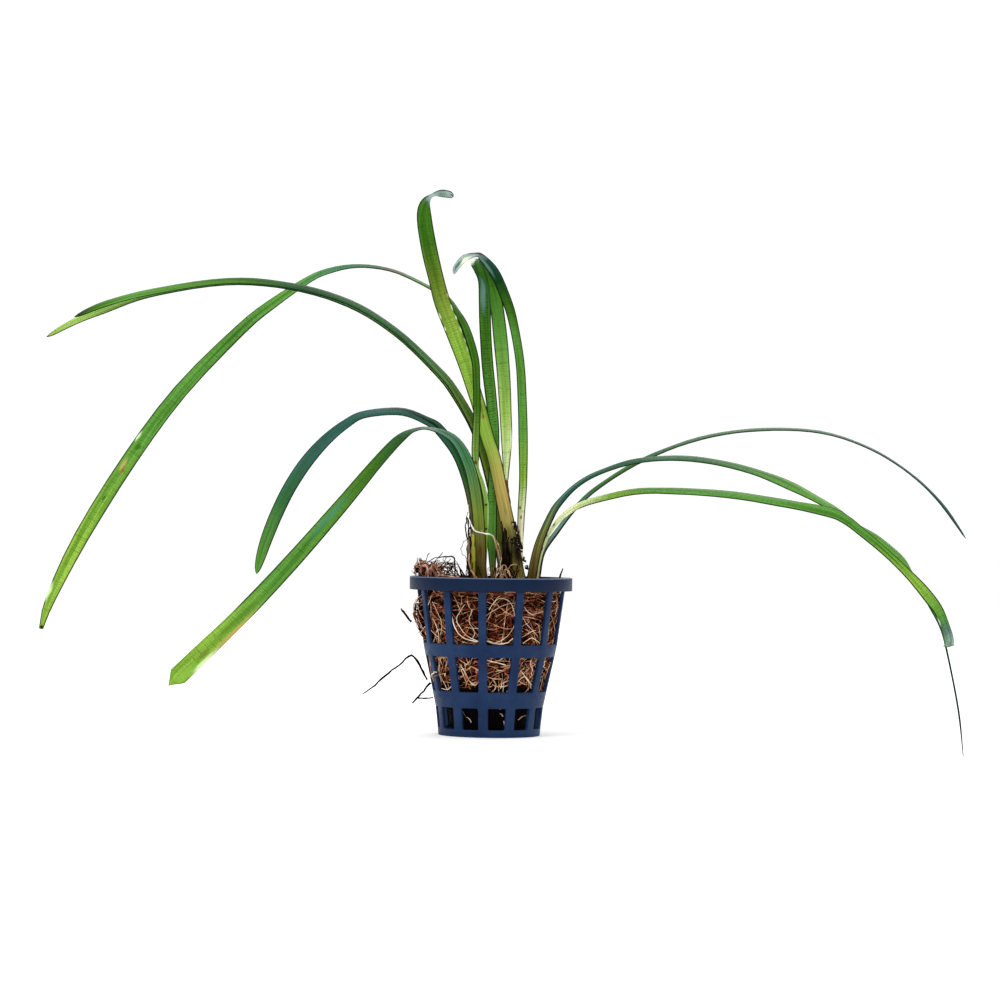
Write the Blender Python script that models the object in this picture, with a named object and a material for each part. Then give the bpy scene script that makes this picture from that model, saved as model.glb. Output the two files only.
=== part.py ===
"""Potted sagittaria: a grassy aquarium plant rooted in coir in a small net pot.

The origin is the middle of the pot's underside. +Z is up, and the photographed
side faces -Y. Lengths in the tables are millimetres.
"""

import math

import bmesh
import bpy
from mathutils import Vector, noise

MM = 0.001

# Net pot
POT_HEIGHT = 52.2
WALL = 1.1
RIM_OUTER_RADIUS = 26.9
RIM_BAND = 4.3
BASE_RADIUS = 16.8
HUB_RADIUS = 7.5
SLOT_OUTER_RADIUS = 14.0
RIB_COUNT = 12
RIB_PHASE = -6.5

# Each row of the pot's skin: radius, height, rib width, and whether windows open above it
POT_ROWS = [
    (HUB_RADIUS, 0.0, 2.4, True),
    (SLOT_OUTER_RADIUS, 0.0, 3.0, False),
    (BASE_RADIUS, 0.0, 3.2, False),
    (17.0, 2.4, 3.2, True),
    (17.8, 9.5, 3.2, False),
    (18.9, 14.7, 2.9, True),
    (21.4, 26.2, 2.9, False),
    (22.2, 30.3, 2.6, True),
    (24.5, POT_HEIGHT - RIM_BAND, 2.6, False),
    (24.8, POT_HEIGHT - WALL, 2.6, False),
    (RIM_OUTER_RADIUS - WALL, POT_HEIGHT - WALL, 2.6, False),
    (RIM_OUTER_RADIUS - WALL, POT_HEIGHT - RIM_BAND, 2.6, False),
]

# Each ring up the coir's side: radius, height, bulge into the windows, and
# how far the tuft stands out of its window
COIR_SIDE = [
    (12.4, 2.0, 0.0, 0.0), (13.4, 5.6, 0.0, 0.0), (14.2, 9.2, 0.0, 0.0), (16.0, 11.6, 0.0, 0.0),
    (17.3, 16.0, 0.0, 0.0), (18.4, 20.5, 0.6, 0.6), (19.4, 24.8, 0.0, 0.0),
    (20.4, 30.0, 0.0, 0.0), (21.0, 33.8, 0.4, 2.3), (21.7, 38.5, 0.7, 3.6), (22.2, 43.0, 0.5, 3.0),
    (22.7, 46.5, 0.0, 0.0),
]
# Columns of each coir sector, in degrees from its rib, and whether they are in the window
COIR_COLUMNS = [(-4.4, False), (4.4, False), (10.0, True), (15.0, True), (20.0, True)]
TUFT_SECTOR = 9
UNDERSIDE_HOLLOW = 0.3
# Each ring of the coir's top: radius, height, and the rise and overhang of the clump
COIR_TOP = [
    (22.9, 46.6, 6.2, 0.0), (22.4, 46.7, 6.8, 3.2), (21.5, 46.8, 9.0, 3.6),
    (17.0, 46.9, 11.3, 0.0), (12.5, 46.9, 10.5, 0.0), (6.5, 46.8, 1.5, 0.0),
]
CLUMP_AZIMUTH = -92.0
CLUMP_HALF_WIDTH = 46.0
CLUMP_STEEPNESS = 1.35
OVERHANG_START = 0.9
LUMP_DENSITY = 0.35
LUMP_DEPTH = 0.5
LEVEL_TOP_RADIUS = 20.0

# Leaves thin to this part of their thickness over this length of tip
TIP_THINNESS = 0.45
TIP_LENGTH = 12.0

# Leaves. Each station is x, depth y, height z, blade width and turn: at turn 0
# the blade faces the photographed side, and at 90 it is seen edge on.
LONG_LEFT_LEAF = [
    (-1.5, -4.0, 48.0, 3.0, 60), (-2.0, -5.0, 53.0, 3.0, 60), (-2.2, -6.0, 64.5, 2.8, 60),
    (-2.7, -7.0, 76.0, 2.6, 50), (-4.0, -8.2, 82.5, 2.4, 30), (-5.6, -9.2, 87.5, 2.2, 15),
    (-6.0, -9.6, 92.5, 2.5, 10), (-5.6, -9.6, 99.5, 2.5, 5), (-5.4, -9.5, 107.5, 2.4, 0),
    (-5.7, -9.0, 117.0, 2.4, 5), (-6.2, -8.5, 123.5, 2.6, 10), (-8.1, -6.2, 131.0, 2.8, 20),
    (-10.1, -1.8, 136.0, 2.8, 30), (-12.5, 1.5, 140.0, 3.2, 45), (-16.0, 6.0, 144.7, 3.8, 60),
    (-21.0, 9.5, 148.3, 4.2, 72), (-32.0, 13.0, 153.5, 4.6, 78), (-49.0, 17.0, 155.8, 4.8, 74),
    (-59.7, 18.0, 153.0, 4.8, 62), (-75.5, 16.5, 142.2, 4.8, 50), (-85.3, 14.0, 133.7, 4.8, 42),
    (-104.5, 8.0, 112.8, 4.9, 25), (-120.2, 2.0, 90.2, 5.0, 5), (-135.1, -6.0, 64.0, 5.0, 0),
    (-144.0, -12.0, 43.5, 3.8, 0), (-146.7, -14.0, 34.0, 1.2, 0),
]
UPPER_LEFT_LEAF = [
    (5.5, 4.5, 48.0, 3.0, 0), (3.5, 4.0, 58.0, 3.0, 0), (1.5, 3.5, 74.5, 3.0, 10),
    (-2.0, 2.5, 89.0, 3.2, 25), (-6.0, -0.5, 101.5, 3.6, 35), (-12.5, -4.0, 112.5, 3.9, 48),
    (-18.8, -6.0, 119.5, 4.1, 56), (-33.0, -8.0, 132.2, 4.2, 62), (-48.0, -8.0, 141.5, 4.2, 63),
    (-67.5, -6.0, 147.2, 4.2, 60), (-89.0, -2.0, 149.0, 4.2, 62), (-114.5, 4.0, 145.2, 4.1, 58),
    (-130.0, 7.0, 141.2, 3.8, 52), (-140.0, 8.0, 136.5, 1.6, 45),
]
UPPER_LEFT_BACK_LEAF = [
    (5.0, 9.0, 48.0, 2.6, 0), (3.0, 8.5, 58.0, 2.6, 0), (1.0, 8.0, 74.5, 2.6, 10),
    (-2.5, 6.5, 89.5, 2.8, 25), (-6.5, 3.5, 101.5, 3.2, 35), (-13.0, 0.0, 112.0, 3.8, 48),
    (-19.5, -2.0, 119.0, 4.0, 56), (-33.0, -4.0, 131.3, 4.2, 62), (-48.5, -4.0, 141.0, 4.2, 63),
    (-67.5, -2.0, 146.8, 4.2, 60), (-89.5, 2.0, 148.8, 4.2, 62), (-115.0, 8.0, 144.8, 4.2, 57),
    (-130.5, 11.0, 139.5, 4.2, 52), (-140.5, 13.0, 135.6, 3.8, 50), (-150.5, 15.0, 130.5, 1.2, 45),
]
SHORT_LEFT_LEAF = [
    (-6.0, -5.5, 48.5, 3.0, 0), (-5.5, -6.5, 58.0, 3.0, 0), (-6.0, -9.0, 74.5, 3.2, 0),
    (-9.0, -12.5, 89.0, 3.6, 20), (-14.0, -15.5, 98.5, 4.2, 40), (-21.0, -18.5, 103.0, 4.4, 54),
    (-30.0, -22.0, 106.0, 4.6, 60), (-41.5, -27.0, 104.7, 4.6, 60), (-47.6, -30.0, 101.5, 4.6, 54),
    (-53.8, -33.0, 96.0, 4.6, 42), (-59.7, -35.0, 89.2, 4.6, 35), (-64.6, -36.5, 81.2, 4.5, 30),
    (-68.4, -37.5, 73.3, 4.4, 28), (-71.6, -38.0, 65.0, 4.2, 25), (-73.8, -38.0, 58.2, 3.4, 20),
    (-74.8, -38.0, 53.0, 1.2, 15),
]
FRONT_LEFT_LEAF = [
    (-2.9, -9.5, 48.0, 3.6, 0), (-3.3, -10.5, 54.0, 3.6, 0), (-4.2, -12.0, 64.5, 3.6, 0),
    (-5.5, -15.0, 77.5, 4.2, 5), (-8.0, -18.5, 89.0, 4.4, 20), (-13.8, -23.0, 96.8, 4.6, 52),
    (-20.2, -28.0, 100.1, 4.8, 80), (-25.6, -32.0, 99.6, 5.0, 82), (-30.0, -36.0, 96.8, 5.0, 62),
    (-37.0, -41.0, 88.6, 5.0, 48), (-48.0, -49.0, 74.8, 5.0, 34), (-63.1, -58.0, 56.6, 5.0, 20),
    (-77.7, -66.0, 40.5, 5.2, 10), (-91.0, -73.0, 26.7, 5.7, 5), (-97.8, -77.0, 20.0, 5.7, 0),
]
TALL_MIDDLE_LEAF = [
    (10.0, 1.0, 48.0, 5.0, 0), (8.5, 0.0, 53.0, 4.8, 0), (6.5, -1.0, 64.5, 4.6, 0),
    (3.5, -2.0, 77.5, 4.6, 0), (0.4, -2.5, 91.5, 4.6, 0), (-1.8, -2.8, 98.0, 4.7, 0),
    (-4.5, -3.0, 107.5, 4.5, 0), (-6.6, -3.2, 114.0, 4.5, 0), (-9.0, -3.5, 121.5, 5.0, 0),
    (-12.6, -4.2, 131.0, 5.4, 0), (-17.0, -5.0, 142.0, 5.5, 0), (-19.1, -5.0, 150.0, 5.2, 0),
    (-21.6, -4.0, 160.0, 5.4, 0), (-23.5, -1.0, 170.0, 4.9, 10), (-23.5, 1.5, 175.0, 4.0, 25),
    (-21.6, 3.5, 178.7, 3.2, 65), (-18.5, 3.0, 179.7, 2.8, 50), (-14.5, 1.0, 178.5, 1.4, 45),
]
BENT_BACK_LEAF = [
    (1.0, -1.5, 48.0, 3.2, 0), (0.5, -1.5, 53.0, 3.3, 0), (0.1, -1.3, 64.5, 3.3, 0),
    (0.0, 0.0, 77.5, 3.3, 0), (0.4, 0.6, 89.5, 3.3, 0), (0.0, 1.2, 101.0, 3.4, 0),
    (-1.0, 2.4, 111.0, 3.4, 0), (-2.0, 4.2, 122.5, 3.4, 0), (-2.9, 6.0, 134.5, 3.5, 0),
    (-3.5, 7.5, 144.5, 3.6, 0), (-5.0, 9.5, 151.0, 3.6, 0), (-6.4, 12.0, 155.3, 3.4, 0),
    (-6.6, 15.5, 157.2, 3.4, 0), (-5.4, 19.0, 157.5, 3.6, 0), (-3.5, 21.5, 156.0, 3.8, 0),
    (-1.6, 22.5, 151.0, 4.2, 0), (0.4, 22.5, 143.5, 4.4, 0), (1.7, 22.5, 132.0, 4.5, 0),
    (3.1, 22.0, 120.0, 4.5, 0), (4.1, 21.0, 108.0, 4.3, 0), (4.2, 20.0, 98.0, 3.9, 0),
    (3.6, 19.0, 84.5, 3.4, 0),
]
TALL_RIGHT_LEAF = [
    (9.5, 6.5, 48.0, 2.4, 0), (10.0, 6.5, 63.0, 2.4, 0), (10.0, 6.5, 73.0, 2.6, 0),
    (10.0, 6.5, 84.5, 2.9, 0), (10.0, 6.5, 98.0, 2.9, 0), (9.5, 6.5, 111.0, 3.0, 0),
    (8.5, 7.0, 124.5, 3.0, 0), (6.0, 8.0, 138.0, 3.0, 0), (3.5, 8.0, 146.0, 2.9, 10),
    (0.0, 7.5, 154.0, 2.9, 25), (-4.0, 6.5, 158.3, 2.8, 50), (-8.0, 5.5, 159.6, 2.7, 50),
    (-11.0, 5.0, 157.6, 2.8, 35), (-12.7, 4.6, 154.8, 2.6, 25), (-13.3, 4.5, 153.0, 1.6, 20),
]
LONG_RIGHT_LEAF = [
    (13.0, -4.0, 48.0, 3.2, 0), (13.5, -4.5, 53.0, 3.2, 0), (15.5, -6.5, 63.0, 2.8, -10),
    (19.4, -10.0, 73.0, 2.8, -30), (22.5, -12.5, 77.8, 3.0, -48), (28.0, -15.5, 83.2, 3.4, -62),
    (35.1, -18.5, 87.2, 3.8, -66), (46.6, -23.0, 90.8, 4.2, -68), (61.5, -29.0, 91.9, 4.4, -65),
    (77.0, -36.0, 89.5, 4.4, -62), (91.7, -42.0, 84.7, 4.4, -52), (107.0, -49.0, 76.7, 4.2, -50),
    (121.5, -55.0, 66.5, 4.0, -58), (131.3, -60.0, 55.7, 3.4, -72), (137.5, -66.0, 43.5, 2.8, -78),
    (142.2, -74.0, 28.5, 2.2, -80), (144.2, -81.0, 16.5, 1.6, -80), (144.7, -88.0, 3.0, 0.8, -80),
]
BROAD_RIGHT_LEAF = [
    (15.5, 0.0, 48.0, 2.4, 0), (15.7, 0.0, 55.5, 2.4, 0), (17.7, -1.0, 64.0, 2.4, -10),
    (20.5, -3.0, 69.3, 2.4, -25), (24.0, -5.0, 73.4, 2.6, -40), (28.0, -8.0, 76.2, 3.0, -50),
    (34.5, -11.0, 78.4, 3.6, -58), (47.0, -18.0, 81.2, 4.0, -62), (61.0, -26.0, 81.5, 4.2, -62),
    (76.5, -36.0, 80.5, 4.4, -60), (91.5, -45.0, 78.1, 4.6, -58), (106.5, -54.0, 74.0, 4.8, -42),
    (118.5, -61.0, 67.4, 5.0, -15), (128.3, -66.0, 58.0, 4.8, 0), (135.7, -70.0, 48.8, 4.2, 0),
    (140.1, -73.0, 40.6, 4.2, 0), (142.0, -75.0, 34.5, 3.4, 0),
]
THIN_RIGHT_LEAF = [
    (14.5, 5.0, 48.0, 2.4, -20), (15.5, 5.0, 53.0, 2.4, -20), (17.0, 5.0, 60.5, 2.2, -30),
    (21.5, 6.0, 67.5, 2.2, -50), (28.0, 8.0, 76.0, 2.6, -60), (36.0, 11.0, 83.0, 3.0, -65),
    (50.5, 16.0, 92.0, 3.2, -68), (70.0, 23.0, 99.5, 3.4, -70), (90.5, 30.0, 103.0, 3.4, -72),
    (112.0, 37.0, 102.5, 3.4, -74), (129.5, 42.0, 97.0, 3.2, -75), (144.0, 46.0, 89.0, 3.0, -75),
    (155.0, 49.0, 79.0, 2.6, -72), (164.0, 51.0, 67.5, 0.8, -70),
]

# Dead and old leaf bases, with the same stations as a leaf
OLD_PETIOLE = [
    (4.8, -4.2, 48.0, 2.6, 0), (4.8, -4.3, 55.0, 2.5, 0), (4.6, -4.4, 62.0, 2.1, 0),
    (4.6, -4.2, 69.0, 1.0, 0),
]
DEAD_SHEATH = [
    (-8.4, -9.0, 48.0, 1.6, 0), (-8.3, -10.0, 56.0, 1.5, 20), (-8.5, -10.6, 64.0, 1.3, 40),
    (-8.7, -11.0, 72.0, 0.7, 20),
]
YELLOW_SHEATH = [
    (-6.6, -9.2, 48.0, 1.3, 0), (-6.5, -9.6, 57.0, 1.2, 0), (-6.6, -10.4, 67.0, 0.8, 0),
]
TWISTED_SHEATH = [
    (2.2, -6.0, 48.0, 1.8, 20), (2.6, -6.0, 55.0, 1.8, 60), (1.4, -5.6, 62.0, 1.6, 20),
    (-0.1, -5.0, 66.0, 0.8, 0),
]
BROWN_SHEATH = [
    (6.6, 4.3, 60.0, 1.4, 0), (5.6, 3.6, 74.5, 1.5, 0), (4.7, 2.6, 84.0, 0.8, 0),
]

# Loose roots and hairs: x, depth y and height z along each
FORKED_ROOT = [
    (-42.0, -6.0, 13.0), (-34.5, -5.0, 19.2), (-25.8, -3.5, 26.0), (-22.6, -2.4, 21.6),
    (-20.6, -2.0, 18.0),
]
UPPER_ROOT = [(-29.6, -3.6, 41.4), (-28.4, -3.5, 39.9), (-27.0, -3.4, 38.3)]
LOWER_ROOT = [(-25.4, -4.0, 10.4), (-22.5, -3.4, 13.4), (-20.2, -3.0, 16.6)]
SIDE_ROOT = [(-23.5, -6.0, 12.2), (-21.0, -5.6, 12.0), (-19.2, -5.0, 12.2)]
ARCHED_ROOT = [
    (-23.0, -10.0, 54.6), (-19.4, -12.4, 58.0), (-15.0, -13.4, 58.8), (-12.1, -13.0, 58.0),
    (-11.9, -13.0, 53.6),
]
WHITE_ROOT = [
    (-8.2, -17.0, 75.0), (-7.2, -16.4, 68.6), (-5.0, -16.0, 66.8), (-1.4, -15.0, 66.5),
    (0.2, -11.0, 65.5), (2.0, -9.0, 62.0),
]
DARK_STUB = [(22.4, 2.0, 47.8), (22.6, 2.0, 51.5), (23.8, 3.0, 55.5)]


def clear_scene():
    for item in list(bpy.data.objects):
        bpy.data.objects.remove(item, do_unlink=True)


def plain_material(name, colour, roughness):
    material = bpy.data.materials.new(name)
    material.use_nodes = True
    shader = material.node_tree.nodes["Principled BSDF"]
    shader.inputs["Base Color"].default_value = (*colour, 1.0)
    shader.inputs["Roughness"].default_value = roughness
    shader.inputs["Metallic"].default_value = 0.0
    return material


def add_object(name, mesh_builder, material):
    """Turn a filled bmesh in millimetres into a named object in metres."""
    bmesh.ops.scale(mesh_builder, vec=(MM, MM, MM), verts=mesh_builder.verts)
    mesh = bpy.data.meshes.new(name)
    mesh_builder.to_mesh(mesh)
    mesh_builder.free()
    mesh.materials.append(material)
    item = bpy.data.objects.new(name, mesh)
    bpy.context.scene.collection.objects.link(item)
    return item


def around(azimuth, radius, height):
    """A point at an azimuth in degrees, counted from the photographed side towards +X."""
    angle = math.radians(azimuth)
    return Vector((radius * math.sin(angle), -radius * math.cos(angle), height))


def smooth_step(value):
    value = min(max(value, 0.0), 1.0)
    return value * value * (3.0 - 2.0 * value)


def net_pot(material):
    """A single skin with the windows left out, thickened inwards."""
    grid = bmesh.new()
    rows = []
    for radius, height, rib, _ in POT_ROWS:
        half_rib = math.degrees(math.asin(rib / 2.0 / radius))
        row = []
        for sector in range(RIB_COUNT):
            centre = RIB_PHASE + sector * 360.0 / RIB_COUNT
            for azimuth in (centre - half_rib, centre + half_rib, centre + 180.0 / RIB_COUNT):
                row.append(grid.verts.new(around(azimuth, radius, height)))
        rows.append(row)

    count = len(rows[0])
    hub = grid.verts.new((0.0, 0.0, POT_ROWS[0][1]))
    for column in range(count):
        following = (column + 1) % count
        grid.faces.new((hub, rows[0][following], rows[0][column]))
    for level in range(len(rows) - 1):
        window_row = POT_ROWS[level][3]
        for column in range(count):
            on_rib = column % 3 == 0
            if window_row and not on_rib:
                continue
            following = (column + 1) % count
            low = rows[level]
            high = rows[level + 1]
            grid.faces.new((low[column], low[following], high[following], high[column]))

    pot = add_object("net_pot", grid, material)
    wall = pot.modifiers.new("wall", "SOLIDIFY")
    wall.thickness = WALL * MM
    wall.offset = -1.0
    wall.use_even_offset = True
    return pot


def clump_lift(azimuth):
    """How far the fibre clump is raised at an azimuth, from 0 to 1."""
    away = abs((azimuth - CLUMP_AZIMUTH + 180.0) % 360.0 - 180.0)
    return smooth_step(CLUMP_STEEPNESS * (1.0 - away / CLUMP_HALF_WIDTH))


def coir_block(material):
    """The fibre block: bulged in each window, raised in a clump, out of one window in a tuft."""
    block = bmesh.new()
    columns = []
    for sector in range(RIB_COUNT):
        centre = RIB_PHASE + sector * 360.0 / RIB_COUNT
        for offset, in_window in COIR_COLUMNS:
            columns.append((centre + offset, in_window, sector == TUFT_SECTOR))

    rings = []
    for radius, height, bulge, tuft in COIR_SIDE:
        ring = []
        for azimuth, in_window, in_tuft in columns:
            lump = LUMP_DEPTH * noise.noise(around(azimuth, radius, height) * LUMP_DENSITY)
            out = radius - abs(lump)
            if in_window:
                out += tuft if in_tuft else bulge
            rise = 0.0 if rings else lump
            ring.append(block.verts.new(around(azimuth, out, height + rise)))
        rings.append(ring)
    for radius, height, raised, overhang in COIR_TOP:
        ring = []
        for azimuth, _, _ in columns:
            lift = clump_lift(azimuth)
            reach = overhang * smooth_step((lift - OVERHANG_START) / (1.0 - OVERHANG_START))
            lump = LUMP_DEPTH * noise.noise(around(azimuth, radius, height) * LUMP_DENSITY)
            bump = lump if radius < LEVEL_TOP_RADIUS else 0.0
            ring.append(block.verts.new(around(azimuth, radius + reach, height + raised * lift + bump)))
        rings.append(ring)

    count = len(columns)
    for low, high in zip(rings, rings[1:]):
        for column in range(count):
            following = (column + 1) % count
            block.faces.new((low[column], low[following], high[following], high[column]))
    underside = block.verts.new((0.0, 0.0, COIR_SIDE[0][1] + UNDERSIDE_HOLLOW))
    top = block.verts.new((0.0, 0.0, COIR_TOP[-1][1]))
    for column in range(count):
        following = (column + 1) % count
        block.faces.new((underside, rings[0][following], rings[0][column]))
        block.faces.new((top, rings[-1][column], rings[-1][following]))
    return add_object("coir", block, material)


def blend(before, start, end, after, part):
    """Catmull-Rom value between start and end."""
    return 0.5 * (
        2.0 * start
        + (end - before) * part
        + (2.0 * before - 5.0 * start + 4.0 * end - after) * part ** 2
        + (3.0 * start - before - 3.0 * end + after) * part ** 3
    )


def smooth_stations(stations, parts=2):
    """Fill in stations between the given ones along a smooth curve."""
    filled = []
    last = len(stations) - 1
    for span in range(last):
        before = stations[max(span - 1, 0)]
        after = stations[min(span + 2, last)]
        neighbours = [before, stations[span], stations[span + 1], after]
        for step in range(parts):
            filled.append([blend(*values, step / parts) for values in zip(*neighbours)])
    filled.append(list(stations[-1]))
    return filled


def leaf(name, stations, material, stalk=2.4, blade=0.9, stalk_length=45.0, across=None):
    """A strap leaf: a lens-shaped section carried along its stations.

    across is the fixed width direction of a leaf that bends away from the viewer.
    """
    filled = smooth_stations(stations)
    places = [Vector(station[:3]) for station in filled]
    total = sum((b - a).length for a, b in zip(places, places[1:]))
    body = bmesh.new()
    rings = []
    travelled = 0.0
    for index, (place, station) in enumerate(zip(places, filled)):
        if index:
            travelled += (place - places[index - 1]).length
        ahead = places[min(index + 1, len(places) - 1)]
        behind = places[max(index - 1, 0)]
        along = (ahead - behind).normalized()
        if across is None:
            side = Vector((0.0, 1.0, 0.0)).cross(along).normalized()
        else:
            side = (across - along * across.dot(along)).normalized()
        face = side.cross(along)
        if across is None:
            face.negate()
        turn = math.radians(station[4])
        width_way = side * math.cos(turn) + face * math.sin(turn)
        thick_way = along.cross(width_way)
        half_width = station[3] / 2.0
        half_thick = (stalk + (blade - stalk) * smooth_step(travelled / stalk_length)) / 2.0
        half_thick *= TIP_THINNESS + (1.0 - TIP_THINNESS) * smooth_step((total - travelled) / TIP_LENGTH)
        half_thick = min(half_thick, half_width)
        section = ((1.0, 0.0), (0.5, 1.0), (-0.5, 1.0), (-1.0, 0.0), (-0.5, -1.0), (0.5, -1.0))
        rings.append([
            body.verts.new(place + width_way * (u * half_width) + thick_way * (v * half_thick))
            for u, v in section
        ])
    for low, high in zip(rings, rings[1:]):
        for corner in range(6):
            following = (corner + 1) % 6
            body.faces.new((low[corner], low[following], high[following], high[corner]))
    body.faces.new(reversed(rings[0]))
    body.faces.new(rings[-1])
    return add_object(name, body, material)


def root(name, places, thickness, material):
    """A thin round root along a smooth line."""
    curve = bpy.data.curves.new(name, "CURVE")
    curve.dimensions = "3D"
    curve.bevel_depth = thickness / 2.0 * MM
    curve.bevel_resolution = 1
    curve.use_fill_caps = True
    line = curve.splines.new("POLY")
    filled = smooth_stations(places)
    line.points.add(len(filled) - 1)
    for point, place in zip(line.points, filled):
        point.co = (place[0] * MM, place[1] * MM, place[2] * MM, 1.0)
    curve.materials.append(material)
    item = bpy.data.objects.new(name, curve)
    bpy.context.scene.collection.objects.link(item)
    return item


def build():
    clear_scene()
    net_pot(plain_material("navy_plastic", (0.035, 0.075, 0.17), 0.4))
    coir_block(plain_material("coir_fibre", (0.30, 0.12, 0.045), 0.9))

    green = plain_material("leaf_green", (0.13, 0.30, 0.04), 0.4)
    dark_green = plain_material("leaf_dark_green", (0.05, 0.17, 0.07), 0.35)
    leaf("leaf_long_left", LONG_LEFT_LEAF, green, stalk=1.6)
    leaf("leaf_upper_left", UPPER_LEFT_LEAF, dark_green, stalk=2.0)
    leaf("leaf_upper_left_back", UPPER_LEFT_BACK_LEAF, green, stalk=1.8)
    leaf("leaf_short_left", SHORT_LEFT_LEAF, dark_green, stalk=1.8)
    leaf("leaf_front_left", FRONT_LEFT_LEAF, green, stalk=3.0)
    leaf("leaf_tall_middle", TALL_MIDDLE_LEAF, green, stalk=3.2, stalk_length=70.0)
    leaf("leaf_bent_back", BENT_BACK_LEAF, green, stalk=1.4, across=Vector((1.0, 0.0, 0.0)))
    leaf("leaf_tall_right", TALL_RIGHT_LEAF, green, stalk=1.4)
    leaf("leaf_long_right", LONG_RIGHT_LEAF, dark_green, stalk=2.6)
    leaf("leaf_broad_right", BROAD_RIGHT_LEAF, green, stalk=1.6)
    leaf("leaf_thin_right", THIN_RIGHT_LEAF, dark_green, stalk=1.6)

    brown = plain_material("dead_leaf_brown", (0.10, 0.05, 0.025), 0.8)
    straw = plain_material("dead_leaf_straw", (0.42, 0.36, 0.10), 0.7)
    leaf("old_petiole", OLD_PETIOLE, brown, stalk=1.6, blade=1.2)
    leaf("dead_sheath", DEAD_SHEATH, brown, stalk=0.8, blade=0.6)
    leaf("yellow_sheath", YELLOW_SHEATH, straw, stalk=0.8, blade=0.6)
    leaf("twisted_sheath", TWISTED_SHEATH, brown, stalk=0.8, blade=0.6)
    leaf("brown_sheath", BROWN_SHEATH, brown, stalk=0.7, blade=0.5)

    root_dark = plain_material("root_dark", (0.03, 0.02, 0.018), 0.8)
    root_pale = plain_material("root_pale", (0.72, 0.62, 0.45), 0.6)
    root("forked_root", FORKED_ROOT, 0.5, root_dark)
    root("upper_root", UPPER_ROOT, 0.6, root_dark)
    root("lower_root", LOWER_ROOT, 0.5, root_dark)
    root("side_root", SIDE_ROOT, 0.5, root_dark)
    root("arched_root", ARCHED_ROOT, 0.4, root_dark)
    root("white_root", WHITE_ROOT, 0.45, root_pale)
    root("dark_stub", DARK_STUB, 0.5, root_dark)


build()
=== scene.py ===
"""Potted sagittaria: strap leaves rooted in coir in a small net pot.

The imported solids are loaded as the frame, and the finished leaves, pot, roots
and fibres are modelled over them. Lengths in the tables are millimetres.
"""

import math
import random

import bmesh
import bpy
from mathutils import Matrix, Vector, noise
from mathutils.bvhtree import BVHTree


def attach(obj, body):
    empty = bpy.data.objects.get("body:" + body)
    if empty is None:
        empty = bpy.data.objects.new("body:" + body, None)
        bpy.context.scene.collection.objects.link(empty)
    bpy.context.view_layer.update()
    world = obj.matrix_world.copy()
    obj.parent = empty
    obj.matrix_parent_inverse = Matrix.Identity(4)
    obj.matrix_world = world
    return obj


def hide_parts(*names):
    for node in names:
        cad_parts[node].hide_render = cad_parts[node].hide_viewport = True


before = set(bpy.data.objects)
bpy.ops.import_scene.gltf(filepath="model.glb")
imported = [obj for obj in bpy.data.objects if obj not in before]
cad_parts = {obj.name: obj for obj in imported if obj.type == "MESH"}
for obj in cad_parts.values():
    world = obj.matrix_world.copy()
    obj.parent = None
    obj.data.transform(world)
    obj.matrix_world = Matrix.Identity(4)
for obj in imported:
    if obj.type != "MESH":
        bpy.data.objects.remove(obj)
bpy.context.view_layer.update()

MM = 0.001
SEED = 41
random.seed(SEED)
noise.seed_set(SEED)

# Net pot
POT_HEIGHT = 52.2
WALL = 1.1
RIM_OUTER_RADIUS = 26.9
RIM_BAND = 4.3
RIB_COUNT = 12
RIB_PHASE = -6.5
COLUMNS = 96
COLUMN_ANGLE = 360.0 / COLUMNS
WINDOW_CORNER = 0.45
SOFT_EDGE = 0.14

# Each row of the pot's skin: radius, height and rib width. The floor keeps whole columns as its spokes.
POT_ROWS = [
    (7.5, 0.0, 0.0),
    (14.0, 0.0, 0.0),
    (16.8, 0.0, 3.2),
    (17.0, 2.4, 3.2),
    (17.8, 9.5, 3.2),
    (18.9, 14.7, 2.9),
    (21.4, 26.2, 2.9),
    (22.2, 30.3, 2.6),
    (24.5, POT_HEIGHT - RIM_BAND, 2.6),
    (24.8, POT_HEIGHT - WALL, 2.6),
    (RIM_OUTER_RADIUS - WALL, POT_HEIGHT - WALL, 2.6),
    (RIM_OUTER_RADIUS - WALL, POT_HEIGHT - RIM_BAND, 2.6),
]
WINDOW_HEIGHTS = [(2.4, 9.5), (14.7, 26.2), (30.3, 47.9)]
WALL_LIMIT = 24.7
WALL_MIDDLE = 30.0
SLOT_RADII = (7.5, 14.0)
SPOKE_COLUMNS = 2.0

# Where the pot's finish changes, and where a highlight is painted along the rim's top edge
RIM_DARKENS = (47.0 * MM, 48.2 * MM)
TOP_HIGHLIGHT_OUT = (26.5 * MM, 26.7 * MM)
TOP_HIGHLIGHT_UP = (51.85 * MM, 52.05 * MM)
SCUFF_FRONT = (-4.0 * MM, 0.0)
SCUFF_MIDDLE = (21.5, 0.0, 50.2)
SCUFF_SCALE = (400.0, 0.0, 1100.0)
SCRATCH_SCALE = (400.0, 400.0, 2600.0)

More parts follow.
